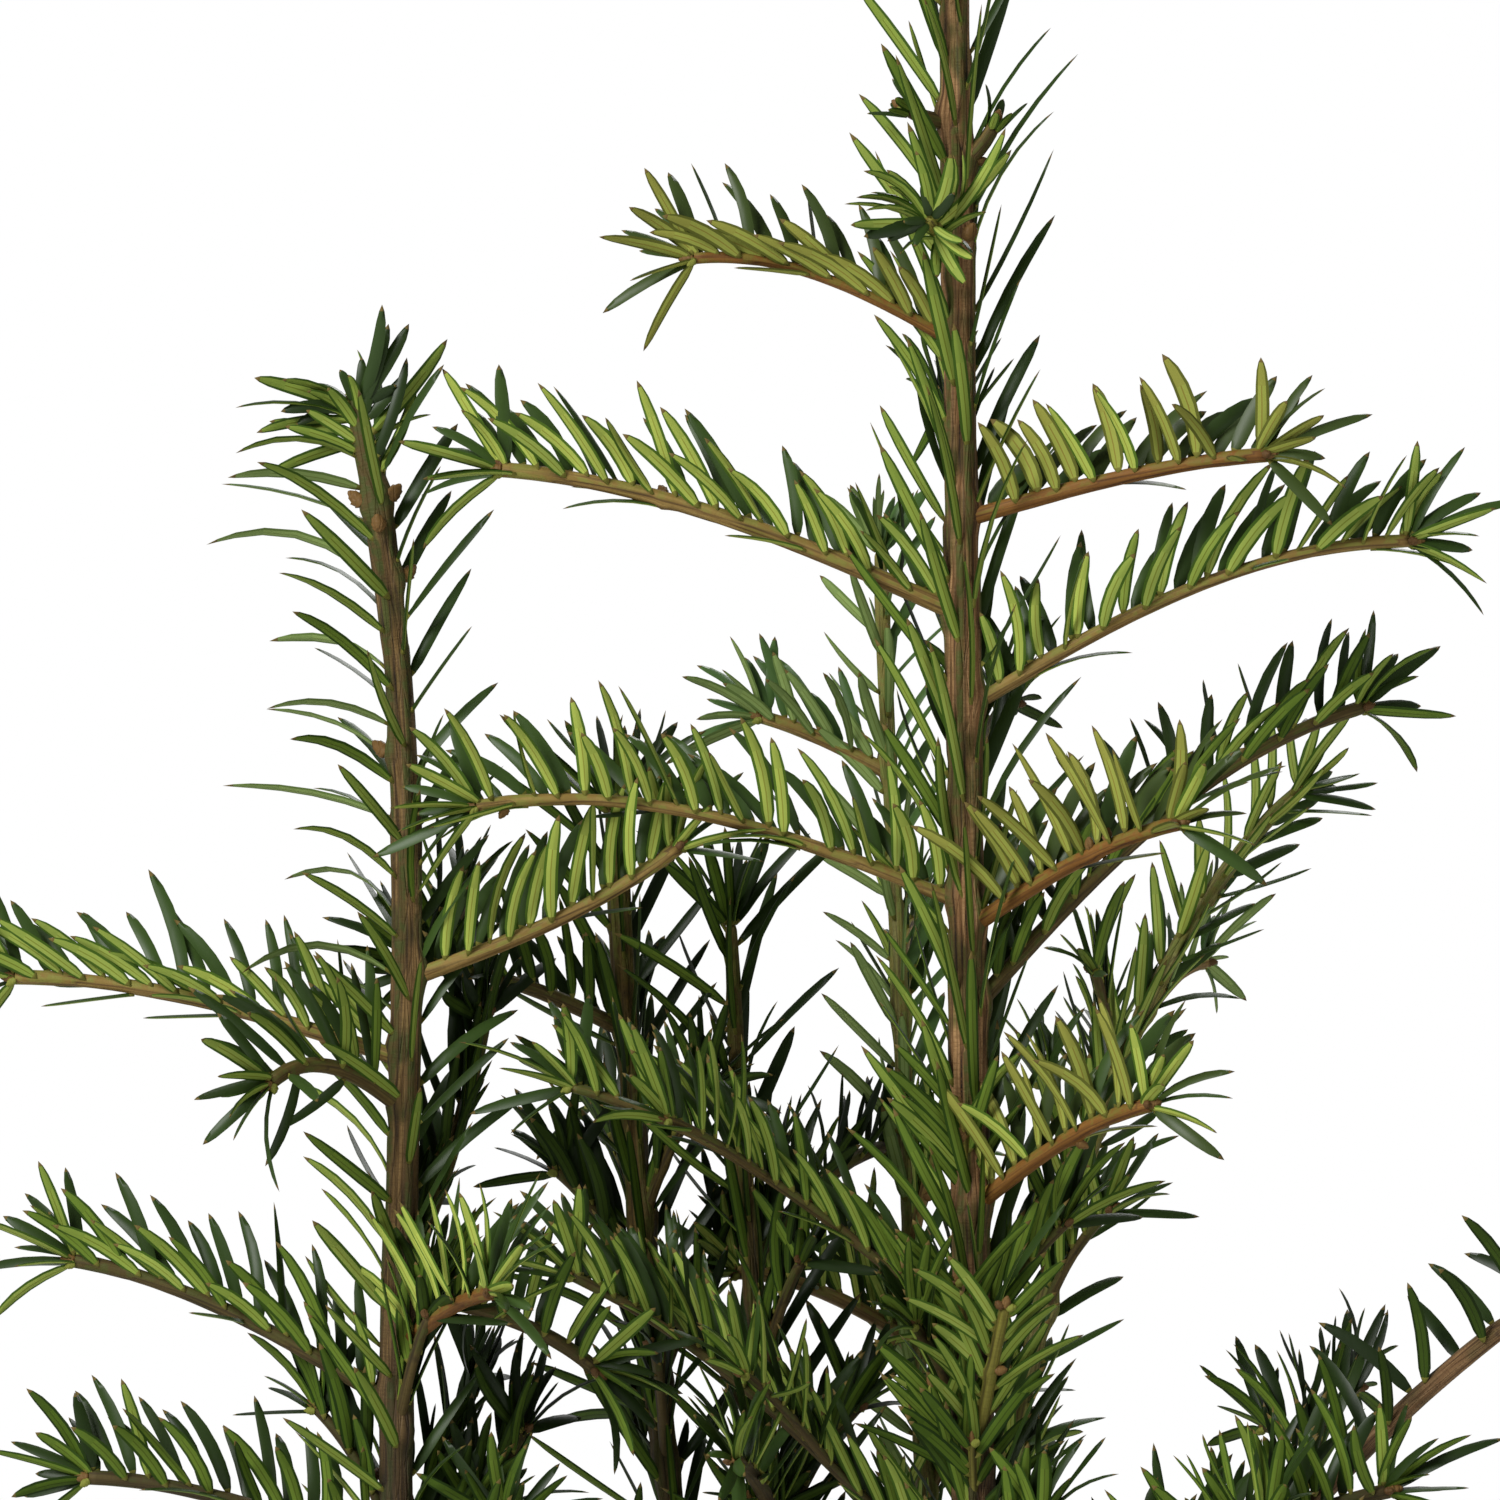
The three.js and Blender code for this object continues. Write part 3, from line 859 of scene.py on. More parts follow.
TWIG_ORANGE = twig_bark("orange", (64, 37, 9), (98, 62, 16), (126, 87, 32), (101, 86, 25), (107, 70, 19))
TWIG_GREEN = twig_bark("green", (44, 40, 8), (92, 84, 20), (134, 128, 48), (112, 112, 34), (98, 88, 22))
# A darker twig bark: painted shade for the twigs of the darker sprays.
TWIG_PAINTED_SHADE = twig_bark(
    "dark", (36, 29, 9), (68, 54, 20), (94, 78, 34), (68, 70, 20), (70, 58, 18), rough=0.7
)
TWIG_BARKS = (TWIG_OLIVE, TWIG_ORANGE, TWIG_PAINTED_SHADE, TWIG_GREEN)


@dataclass(frozen=True)
class SkinFinish:
    """A living skin of one plain colour, with a fine uneven gloss: needles and buds."""

    roughness: float = 0.42
    specular: float = 0.16
    coat: float = 0.05
    coat_roughness: float = 0.35
    relief: float = 0.03
    scale: float = 420.0

    def material(self, name: str, colour: Colour, group: bpy.types.NodeTree) -> bpy.types.Material:
        """Builds the material in one colour.

        Args:
            name: The material's name.
            colour: Its sRGB colour.
            group: The shared grain.

        Returns:
            The material.
        """
        mat, make, shader = new_material(name)
        place = make.add("ShaderNodeTexCoord").outputs["Object"]
        grain = make.grain(group, place, self.scale, self.relief)
        make.fill(shader, Base_Color=linear(colour), Roughness=self.roughness, Normal=grain["Normal"])
        make.fill(shader, Specular_IOR_Level=self.specular)
        make.fill(shader, Coat_Weight=self.coat, Coat_Roughness=self.coat_roughness)
        return mat


# ---- Joined meshes -------------------------------------------------------------------------------------


def tube_faces(rings: int, sides: int) -> list[tuple[int, ...]]:
    """Lists the faces of a closed tube whose rings run anticlockwise about its direction.

    Args:
        rings: How many rings of vertices it has; the two end points follow them.
        sides: Vertices in each ring.

    Returns:
        Its faces, as vertex numbers.
    """
    faces: list[tuple[int, ...]] = []
    for ring in range(rings - 1):
        low, high = ring * sides, (ring + 1) * sides
        for i in range(sides):
            after = (i + 1) % sides
            faces.append((low + i, low + after, high + after, high + i))
    first, last, top = rings * sides, rings * sides + 1, (rings - 1) * sides
    for i in range(sides):
        after = (i + 1) % sides
        faces.append((after, i, first))
        faces.append((top + i, top + after, last))
    return faces


class JoinedMesh:
    """Collects many small closed forms and makes them one mesh."""

    def __init__(self) -> None:
        """Starts empty."""
        self.vertices: list[np.ndarray] = []
        self.corners: list[np.ndarray] = []
        self.sizes: list[np.ndarray] = []
        self.slots: list[np.ndarray] = []
        self.creases: list[np.ndarray] = []
        self.grain: list[np.ndarray] = []
        self.ridge: list[np.ndarray] = []
        self.count = 0

    def add(
        self,
        vertices: np.ndarray,
        faces: Sequence[Sequence[int]],
        slots: np.ndarray,
        creases: np.ndarray | None = None,
        skin: tuple[np.ndarray, np.ndarray] | None = None,
    ) -> None:
        """Adds copies of one form.

        Args:
            vertices: Places in millimetres, copies by vertices by 3.
            faces: The form's faces, as vertex numbers within one copy.
            slots: The material slot of each face, copies by faces.
            creases: For each vertex of the form, whether an edge between two such is sharp.
            skin: The bark's grain places and ridge shares of one copy.
        """
        copies, per_copy = vertices.shape[:2]
        flat = np.concatenate([np.array(face) for face in faces])
        offsets = self.count + per_copy * np.arange(copies)[:, None]
        self.vertices.append(vertices.reshape(-1, 3))
        self.corners.append((flat[None, :] + offsets).ravel())
        self.sizes.append(np.tile([len(face) for face in faces], copies))
        self.slots.append(slots.ravel())
        marked = np.zeros(per_copy, bool) if creases is None else creases
        self.creases.append(np.tile(marked, copies))
        if skin:
            self.grain.append(skin[0])
            self.ridge.append(skin[1])
        self.count += copies * per_copy

    def build(self, name: str, materials: Iterable[bpy.types.Material]) -> bpy.types.Object:
        """Makes the mesh and its object.

        Args:
            name: The piece's name.
            materials: Its material slots.

        Returns:
            The new object, linked to the scene.
        """
        sizes = np.concatenate(self.sizes)
        corners = np.concatenate(self.corners)
        mesh = bpy.data.meshes.new(name)
        mesh.vertices.add(self.count)
        mesh.vertices.foreach_set("co", (np.concatenate(self.vertices) * MM).astype(np.float32).ravel())
        mesh.loops.add(len(corners))
        mesh.loops.foreach_set("vertex_index", corners.astype(np.int32))
        mesh.polygons.add(len(sizes))
        mesh.polygons.foreach_set("loop_start", (np.cumsum(sizes) - sizes).astype(np.int32))
        for material in materials:
            mesh.materials.append(material)
        mesh.polygons.foreach_set("material_index", np.concatenate(self.slots).astype(np.int32))
        mesh.update(calc_edges=True)
        mesh.shade_smooth()
        ends = np.zeros(len(mesh.edges) * 2, np.int32)
        mesh.edges.foreach_get("vertices", ends)
        marked = np.concatenate(self.creases)[ends].reshape(-1, 2).all(axis=1)
        sharp = mesh.attributes.new("sharp_edge", "BOOLEAN", "EDGE")
        sharp.data.foreach_set("value", marked)
        if self.grain:
            set_skin(mesh, np.concatenate(self.grain), np.concatenate(self.ridge))
        piece = bpy.data.objects.new(name, mesh)
        bpy.context.scene.collection.objects.link(piece)
        return piece


def set_skin(mesh: bpy.types.Mesh, grain: np.ndarray, ridge: np.ndarray) -> None:
    """Gives a mesh the attributes that its bark reads: places in the grain, and shares of ridge."""
    mesh.attributes.new("grain", "FLOAT_VECTOR", "POINT").data.foreach_set("vector", grain.ravel())
    mesh.attributes.new("ridge", "FLOAT", "POINT").data.foreach_set("value", ridge)


# ---- Needles -------------------------------------------------------------------------------------------


@dataclass
class Needle:
    """One needle: where it stands, which way it points and how it bows.

    Run and turn are the place of its foot along and round what carries it. Arch bows it out of its blade,
    and sickle bends it within its blade, both as shares of its length.
    """

    foot: np.ndarray
    run: float
    turn: float
    along: np.ndarray
    upper: np.ndarray
    length: float
    half_width: float
    arch: float
    sickle: float
    twist: float
    tint: int


@dataclass(frozen=True)
class NeedleForm:
    """The shape that all needles share: a keeled blade with rolled margins, on a short foot.

    The section runs over the upper side from its left edge to its right edge, and back below. Its first
    numbers are shares of half the width, its second ones millimetres.
    """

    section: tuple[Range, ...] = (
        (-1.0, -0.12), (0.0, 0.34), (1.0, -0.12), (0.62, -0.3), (0.08, -0.44), (-0.08, -0.44),
        (-0.62, -0.3),
    )
    edges: tuple[int, ...] = (0, 2)
    across: tuple[Part, ...] = (
        Part.UPPER, Part.UPPER, Part.MARGIN, Part.BAND, Part.MIDRIB, Part.BAND, Part.MARGIN,
    )
    reach: tuple[float, ...] = (0.0, 0.05, 0.14, 0.3, 0.49, 0.68, 0.84, 0.94)
    width: tuple[float, ...] = (0.28, 0.6, 0.92, 1.0, 1.0, 0.94, 0.75, 0.42)
    depth: tuple[float, ...] = (1.2, 1.1, 1.0, 1.0, 0.95, 0.9, 0.75, 0.5)
    ribbed_gaps: int = 4
    hook: float = 2.3
    foot_end: Range = (-0.01, 0.0)
    tip_end: Range = (1.0, -0.05)
    twist_from: float = 0.2
    tip_slot: int = len(TINTS) * len(Part)
    foot_slot: int = len(TINTS) * len(Part) + 1

    def faces(self) -> list[tuple[int, ...]]:
        """Gives the form's faces."""
        return tube_faces(len(self.reach), len(self.section))

    def slots(self, needles: Sequence[Needle]) -> np.ndarray:
        """Gives the material slot of each face, needles by faces."""
        sides, gaps = len(self.section), len(self.reach) - 1
        ribbed = [part.value for part in self.across]
        inner = (Part.BAND, Part.MIDRIB)
        plain = [Part.OUTER.value if part in inner else part.value for part in self.across]
        blade = ribbed * self.ribbed_gaps + plain * (gaps - 1 - self.ribbed_gaps)
        tints = np.array([needle.tint for needle in needles])[:, None] * len(Part)
        foot = np.full((len(needles), sides), self.foot_slot)
        ends = np.tile([self.foot_slot, self.tip_slot], (len(needles), sides))
        return np.hstack((foot, tints + np.array(blade), ends))

    def creases(self) -> np.ndarray:
        """Marks the vertices along the blade's two edges."""
        marks = np.zeros(len(self.reach) * len(self.section) + 2, bool)
        for ring in range(len(self.reach)):
            marks[[ring * len(self.section) + edge for edge in self.edges]] = True
        return marks

    def places(self, needles: Sequence[Needle]) -> np.ndarray:
        """Works out where the vertices of many needles lie.

        Args:
            needles: The needles.

        Returns:
            Places in millimetres, needles by vertices by 3.
        """
        section, ends = np.array(self.section), np.array((self.foot_end, self.tip_end))
        wide = np.append(np.outer(self.width, section[:, 0]).ravel(), (0, 0))
        thick = np.append(np.outer(self.depth, section[:, 1]).ravel(), ends[:, 1])
        far = np.append(np.repeat(self.reach, len(section)), ends[:, 0])
        values = np.array([(n.length, n.half_width, n.arch, n.sickle, n.twist) for n in needles])
        length, half, arch, sickle, twist = (column[:, None] for column in values.T)
        turn = np.radians(twist) * (far - self.twist_from)
        flat = half * wide * np.cos(turn) - thick * np.sin(turn)
        reach = np.maximum(far, 0)
        slope = np.arctan(self.hook * sickle * reach ** (self.hook - 1))
        x = flat * np.cos(slope) + sickle * length * reach**self.hook
        y = length * far - flat * np.sin(slope)
        z = half * wide * np.sin(turn) + thick * np.cos(turn) + arch * length * 4 * far * (1 - far)
        along = np.array([n.along for n in needles])
        upper = np.array([unit(n.upper - n.along * (n.upper @ n.along)) for n in needles])
        across = np.cross(along, upper)
        foot = np.array([n.foot for n in needles])[:, None, :]
        x, y, z = (move[..., None] for move in (x, y, z))
        return foot + (x * across[:, None] + y * along[:, None] + z * upper[:, None])


@dataclass
class NeedleRule:
    """Stands needles on twigs and leaders by the frame's rule, closer together.

    A swing is the most that chance adds either way to what stands before it, and one_in how seldom chance
    brings something about. Sizes are shares of a needle's usual length. Leans are the least and the most
    that a needle leans, splays and foot turns those of the inner and the outer tier of each rank.
    """

    chance: Chance

    # Every needle.
    spray_length: Range = (17.5, 24.5)
    leader_length: Range = (26.0, 34.0)
    length_swing: float = 0.1
    half_width: Range = (1.14, 1.5)
    narrowest: float = 0.6
    widest_from: float = 15.0
    bend: Range = (0.08, 0.26)
    arch_swing: float = 0.05
    sickle_swing: float = 0.04
    twist_swing: float = 30.0
    aim_swing: float = 5.0
    foot_depth: float = 0.86

    # The two ranks of a side twig.
    rank_step: float = 2.3
    step_swing: float = 0.3
    foot_turns: Range = (38.0, 80.0)
    foot_swing: float = 10.0
    leans: Range = (-14.0, 62.0)
    lean_swing: float = 13.0
    hooked_apart: float = -8.0
    hooked_lean: float = -4.0
    splays: Range = (9.0, 30.0)
    splay_swing: float = 9.0
    roll_swing: float = 0.35
    flipped_one_in: float = 7.0
    flipped_aside: float = 0.5
    flipped_ahead: float = 0.9
    rank_arch: float = 0.02
    foot_size: float = 0.8
    tip_size: float = 0.88

    # Needles that stray from their rank, and those that hang.
    stray_every: int = 13
    stray_size: float = 0.85
    stray_asides: Range = (0.3, 2.4)
    stray_wide_one_in: float = 2.5
    stray_drop: float = 0.12
    stray_low: float = 0.3
    stray_roll: float = 0.4
    hanging_length: float = 20.0
    hanging_foot: float = 10.0
    hanging_ahead: float = 0.8
    hanging_aside: float = 0.2
    hanging_down: Range = (0.24, 1.0)
    hanging_bend: float = 0.05
    drooping: float = -25.0

    # The fan round an end bud.
    fan: tuple[float, ...] = (-46.0, -22.0, -8.0, 4.0, 14.0, 24.0, 36.0, 48.0, 60.0, 76.0)
    fan_swing: float = 7.0
    fan_rows: int = 4
    fan_start: float = 0.3
    fan_row_step: float = 0.7
    fan_size: Range = (0.98, 0.66)
    fan_aside: float = 0.25
    fan_aside_swing: float = 0.2
    fan_upward: float = 0.7
    fan_roll: Range = (0.2, 1.0)
    fan_arch: float = 0.06
    fan_spared: int = 2
    fork_bare: float = 3.0

    # Tufts whose needles each have their own place.
    crown_forward: Range = (-0.3, 0.5)
    spot_swing: float = 4.0
    spot_below: float = 0.4
    spot_front: float = 0.8
    spot_roll: float = 0.5
    spot_raise: float = 0.3
    spot_bend: Range = (0.06, 0.2)
    spot_arches: Range = (0.03, 0.12)
    short_spot: float = 9.0
    short_ahead: float = 2.0

    # Steep flat shoots and dwarf shoots.
    flat_step: float = 2.1
    flat_aside: Range = (0.45, 1.1)
    flat_forward: Range = (-0.1, 0.4)
    flat_up: float = 0.2
    flat_roll: float = 0.6
    flat_raise: float = 0.3
    flat_swing: float = 9.0
    flat_size: Range = (0.95, 0.72)
    flat_short: Range = (0.75, 1.0)
    flat_bend: float = -0.12
    flat_bend_share: Range = (0.1, 1.0)
    flat_arch: float = 0.03
    stub_count: int = 5
    stub_at: float = 0.9
    stub_length: Range = (4.0, 9.0)
    stub_splay: float = 0.5
    stub_arch: float = 0.05

    # Leaders, with a tuft round the end bud, and boughs with ranks like a twig's.
    turn_swing: float = 14.0
    rise_swing: float = 8.0
    rise_power: float = 1.5
    steepest: float = 84.0
    tip_gap: float = 0.6
    tip_rise: float = 46.0
    tip_count: int = 8
    tip_face: Range = (0.9, 1.9)
    tip_faced: int = 3
    tuft_count: int = 16
    tuft_rise: Range = (2.0, 30.0)
    tuft_steepest: float = 74.0
    tuft_inner_from: float = 0.6
    tuft_inner_rise: float = 24.0
    tuft_size: Range = (0.86, 0.44)
    leader_roll: float = 0.6
    leader_sickle: float = 0.02
    arch_turn: float = -70.0
    pale_from: float = 0.8
    bough_lean: float = -22.0
    bough_apart: float = 12.0
    bough_spread: float = 2.3

    def near_tint(self, tint: int) -> int:
        """Gives a needle's tint: its spray's, or now and then a neighbouring one."""
        steps = (-1, 0, 0, 0, 0, 1)
        step = steps[int(self.chance.between(0, len(steps) - 0.001))]
        return tint if tint == YOUNG else min(max(tint + step, SHADE), max(tint, BRIGHT))

    def needle(
        self,
        path: Limb | Twig,
        t: float,
        out: np.ndarray,
        along: np.ndarray,
        upper: np.ndarray,
        length: float,
        tint: int,
        arch: float = 0.0,
        sickle: float = 0.0,
    ) -> Needle:
        """Makes one needle with its chance differences.

        Args:
            path: What carries it.
            t: Where along that it stands.
            out: The direction from the centreline to its foot.
            along: The direction in which it points.
            upper: The direction that its upper side faces.
            length: Its length.
            tint: Its spray's tint.
            arch: How far it bows out of its blade.
            sickle: How far it bends within its blade.

        Returns:
            The needle.
        """
        swing = self.chance.swing
        stand = path.stand(t)
        along = unit(turned(along, unit(upper), self.aim_swing * swing()))
        breadth = mix(self.narrowest, 1.0, min(length / self.widest_from, 1))
        return Needle(
            stand.at + out * path.radius_at(t) * self.foot_depth,
            t * path.length,
            stand.turn_of(out),
            along,
            upper,
            length * (1 + self.length_swing * swing()),
            self.chance.between(*self.half_width) * breadth,
            arch + self.arch_swing * swing(),
            sickle + self.sickle_swing * swing(),
            self.twist_swing * swing(),
            self.near_tint(tint),
        )

    def on_twig(
        self, path: Limb | Twig, plan: SprayPlan, bare: float, spread: float = 1.0
    ) -> list[Needle]:
        """Stands two ranks of needles along a twig or a bough, and a fan round its end bud.

        Args:
            path: The twig or bough.
            plan: Its spray's plan.
            bare: How far its foot is bare.
            spread: How far apart the needles stand, as a share of the usual step.

        Returns:
            Its needles.
        """
        chance = self.chance
        made: list[Needle] = []
        step = self.rank_step * spread * plan.spread
        count = int((path.length - bare) / step)
        for i in range(count):
            share = (i + 0.5) / max(count, 1)
            t = (bare + (i + self.step_swing * chance.swing()) * step) / path.length
            stand = path.stand(t).levelled()
            rank, tier = (1 if i % 2 else -1), (i // 2) % 2
            side = stand.across * rank
            foot_turn = math.radians(self.foot_turns[tier] + self.foot_swing * chance.swing())
            out = stand.above * math.cos(foot_turn) + side * math.sin(foot_turn)
            leaning = mix(*plan.lean, share) - plan.apart * float(side[1])
            hooked = plan.apart < self.hooked_apart and side[1] < 0
            forward = -1 if hooked or leaning < self.hooked_lean else 1
            least, most = self.leans
            leaning = min(max(leaning + math.degrees(math.asin(float(stand.along[2]))), least), most)
            lean = math.tan(math.radians(leaning + self.lean_swing * chance.swing()))
            splay = math.tan(math.radians(self.splays[tier] + self.splay_swing * chance.swing()))
            along = unit(stand.above + stand.along * lean + side * splay)
            upper = -side + stand.along * self.roll_swing * chance.swing()
            if chance.one_in(self.flipped_one_in):
                upper = -side * self.flipped_aside - stand.along * rank * self.flipped_ahead
            # The first sixth and the last quarter of a spray have shorter needles.
            size = mix(self.foot_size, 1.0, min(share * 6, 1.0))
            size *= mix(1.0, self.tip_size, max(share * 4 - 3, 0.0))
            if i % self.stray_every == self.stray_every - 1:
                close, wide = self.stray_asides
                aside = wide if chance.one_in(self.stray_wide_one_in) else close
                drop = stand.above * self.stray_drop * (1 + chance.swing())
                along = unit(stand.along + side * aside - drop)
                out = unit(side - stand.above * self.stray_low)
                upper = unit(stand.above - side * self.stray_roll)
                size *= self.stray_size
            length = chance.between(*self.spray_length) * size * plan.size
            bend = -rank * forward * plan.curl * chance.between(*self.bend)
            needle = self.needle(path, t, out, along, upper, length, plan.tint, self.rank_arch, bend)
            needle.half_width *= plan.broad
            made.append(needle)
        for t in plan.hanging if bare < self.hanging_foot else ():
            stand = path.stand(t)
            slight, steep = self.hanging_down
            droops = plan.rise_tip < self.drooping
            down, upper = (steep, -stand.across) if droops else (slight, stand.above)
            aside = stand.across * self.hanging_aside * chance.swing()
            along = unit(stand.along * self.hanging_ahead - stand.above * down + aside)
            length, bend = self.hanging_length, self.hanging_bend
            made.append(self.needle(path, t, -stand.above, along, upper, length, plan.tint, bend, bend))
        return made + self.fan_round(path, plan.tint, 0 if bare > self.fork_bare else self.fan_spared)

    def fan_round(self, path: Limb | Twig, tint: int, spared: int) -> list[Needle]:
        """Stands the fan of needles round an end bud, from the lowest one that isn't spared."""
        made: list[Needle] = []
        for i, angle in enumerate(self.fan[spared:]):
            row = i % self.fan_rows
            t = 1 - (self.fan_start + self.fan_row_step * row) / path.length
            stand = path.stand(t).levelled()
            side = stand.across * (1 if i % 2 else -1)
            along = turned(stand.along, stand.across, angle + self.fan_swing * self.chance.swing())
            along = unit(along + side * (self.fan_aside + self.fan_aside_swing * self.chance.swing()))
            upper = unit(stand.above * self.fan_upward - side * self.chance.between(*self.fan_roll))
            size = mix(*self.fan_size, row / (self.fan_rows - 1))
            length = self.chance.between(*self.spray_length) * size
            made.append(self.needle(path, t, along, along, upper, length, tint, self.fan_arch))
        return made

    def tufted(self, path: Limb | Twig, tint: int, spots: Sequence[Placed], forward: Range) -> list[Needle]:
        """Stands the needles of a tuft round the end of a shoot or leader, each at its own place.

        Args:
            path: The shoot or leader.
            tint: Its tint.
            spots: Its needles' places.
            forward: The least and most that a needle points forward, against sideways.

        Returns:
            Its needles.
        """
        chance = self.chance
        made: list[Needle] = []
        for spot in spots:
            t = 1 - (spot.below + self.spot_below) / path.length
            stand = path.stand(t)
            aim = math.radians(spot.turn + self.spot_swing * chance.swing())
            spoke = RIGHT * math.cos(aim) + UP * math.sin(aim)
            out = unit(spoke - stand.along * (spoke @ stand.along) - REAR * self.spot_front)
            ahead = chance.between(*forward) * (self.short_ahead if spot.length < self.short_spot else 1)
            along = unit(spoke - REAR * ahead)
            round_about = np.cross(along, RIGHT if abs(along[2]) > 0.8 else UP)
            facing = {
                UNDER: REAR + UP * self.spot_roll * chance.swing(),
                UPPER: UP * (self.spot_raise + self.spot_roll * chance.swing()) - REAR,
                EDGE: np.cross(round_about, along) + REAR * self.spot_raise,
            }[spot.side]
            bend = chance.between(*self.spot_bend) * (-1 if spot.side is UPPER else 1)
            arch = self.spot_arches[spot.side is EDGE]
            shade = DEEP if spot.side is UPPER else tint
            made.append(self.needle(path, t, out, along, facing, spot.length, shade, arch, bend))
        return made

    def flat(self, twig: Twig, tint: int) -> list[Needle]:
        """Stands long needles on a steep shoot, left and right of it, with their lower sides forward."""
        made: list[Needle] = []
        chance = self.chance
        count = int((twig.length - twig.bare) / self.flat_step)
        for i in range(count):
            t = (twig.bare + (i + 0.5) * self.flat_step) / twig.length
            stand = twig.stand(t)
            side = RIGHT * (1 if i % 3 == 1 else -1)
            out = unit(side - stand.along * (side @ stand.along))
            upper = REAR + side * self.flat_roll * chance.swing() + UP * self.flat_raise
            aside, forward = chance.between(*self.flat_aside), chance.between(*self.flat_forward)
            along = stand.along + side * aside + UP * self.flat_up - REAR * forward
            along = unit(turned(along, unit(upper), self.flat_swing * chance.swing()))
            length = chance.between(*self.leader_length) * mix(*self.flat_size, t)
            length *= chance.between(*self.flat_short)
            bend = self.flat_bend * float(side[0]) * chance.between(*self.flat_bend_share)
            made.append(self.needle(twig, t, out, along, upper, length, tint, self.flat_arch, bend))
        return made

    def stub(self, twig: Twig, tint: int) -> list[Needle]:
        """Stands a few short needles at the end of a dwarf shoot."""
        made: list[Needle] = []
        for i in range(self.stub_count):
            stand = twig.stand(self.stub_at)
            out = stand.away(i * GOLDEN_ANGLE)
            along, upper = unit(stand.along + out * self.stub_splay), stand.along - out
            length = self.chance.between(*self.stub_length)
            needle = self.needle(twig, self.stub_at, out, along, upper, length, tint, self.stub_arch)
            made.append(needle)
        return made

    def on_leader(self, limb: Limb, rule: LeaderRule) -> list[Needle]:
        """Stands a spiral of needles on a leader, and a tuft round its end bud.

        Args:
            limb: The leader.
            rule: Where its needles start, how they stand and their tint.

        Returns:
            Its needles.
        """
        chance = self.chance
        made: list[Needle] = []
        first = limb.at_height(rule.start)
        length = limb.length * (1 - first)
        if rule.ranked:
            lean = (self.bough_lean, self.bough_lean)
            plan = SprayPlan(
                rule.start, 0, limb.length, 0, 0, rule.tint, lean=lean, apart=self.bough_apart
            )
            return self.on_twig(limb, plan, limb.length - length, self.bough_spread)
        count = int(length / rule.step)
        for i in range(count if rule.crown else count + self.tuft_count):
            t = min(mix(first, 1, (i / count) ** (1 / rule.crowding)), 1 - self.tip_gap / length)
            if rule.crown and (1 - t) * limb.length < rule.crown[0].below:
                break
            stand = limb.stand(t)
            away = stand.away(i * GOLDEN_ANGLE + self.turn_swing * chance.swing())
            sideways = float(away @ RIGHT)
            left = rule.low if stand.at[2] < rule.low_to else rule.left
            flank = rule.right if sideways > 0 else left
            near_tip = min(max((i - count + self.tip_count) / self.tip_count, 0.0), 1.0)
            front = mix(rule.front_rise, self.tip_rise, near_tip)
            rise = mix(front, flank.rise, abs(sideways) ** self.rise_power)
            rise += self.rise_swing * chance.swing()
            size = chance.between(*self.leader_length) * rule.size * mix(1, flank.size, abs(sideways))
            if i >= count:
                share = (i - count) / self.tuft_count
                inner = self.tuft_inner_rise * (share > self.tuft_inner_from)
                rise = min(rise + mix(*self.tuft_rise, share) + inner, self.tuft_steepest)
                size *= mix(*self.tuft_size, share)
            rise = math.radians(min(rise, self.steepest))
            along = away * math.cos(rise) + stand.along * math.sin(rise)
            along = unit(along + RIGHT * rule.sweep * (1 - abs(sideways)))
            round_about = np.cross(stand.along, away)
            face = flank.face if i < count - self.tip_faced else self.tip_face
            upper = unit(stand.along - away * self.leader_roll - round_about * chance.between(*face))
            arch = chance.between(*flank.arch) * abs(sideways)
            along = unit(turned(along, np.cross(away, stand.along), self.arch_turn * arch))
            pale = flank.pale and abs(sideways) > self.pale_from and i < count
            tint = YOUNG if pale else rule.tint
            sickle = self.leader_sickle
            made.append(self.needle(limb, t, away, along, upper, size, tint, arch, sickle))
        return made + self.tufted(limb, rule.tint, rule.crown, self.crown_forward)


# ---- Bark ----------------------------------------------------------------------------------------------


@dataclass(frozen=True)
class Knot:
    """A swelling where a side shoot or a bud leaves a limb or twig, by its run, turn and size."""

    run: float
    turn: float
    size: float


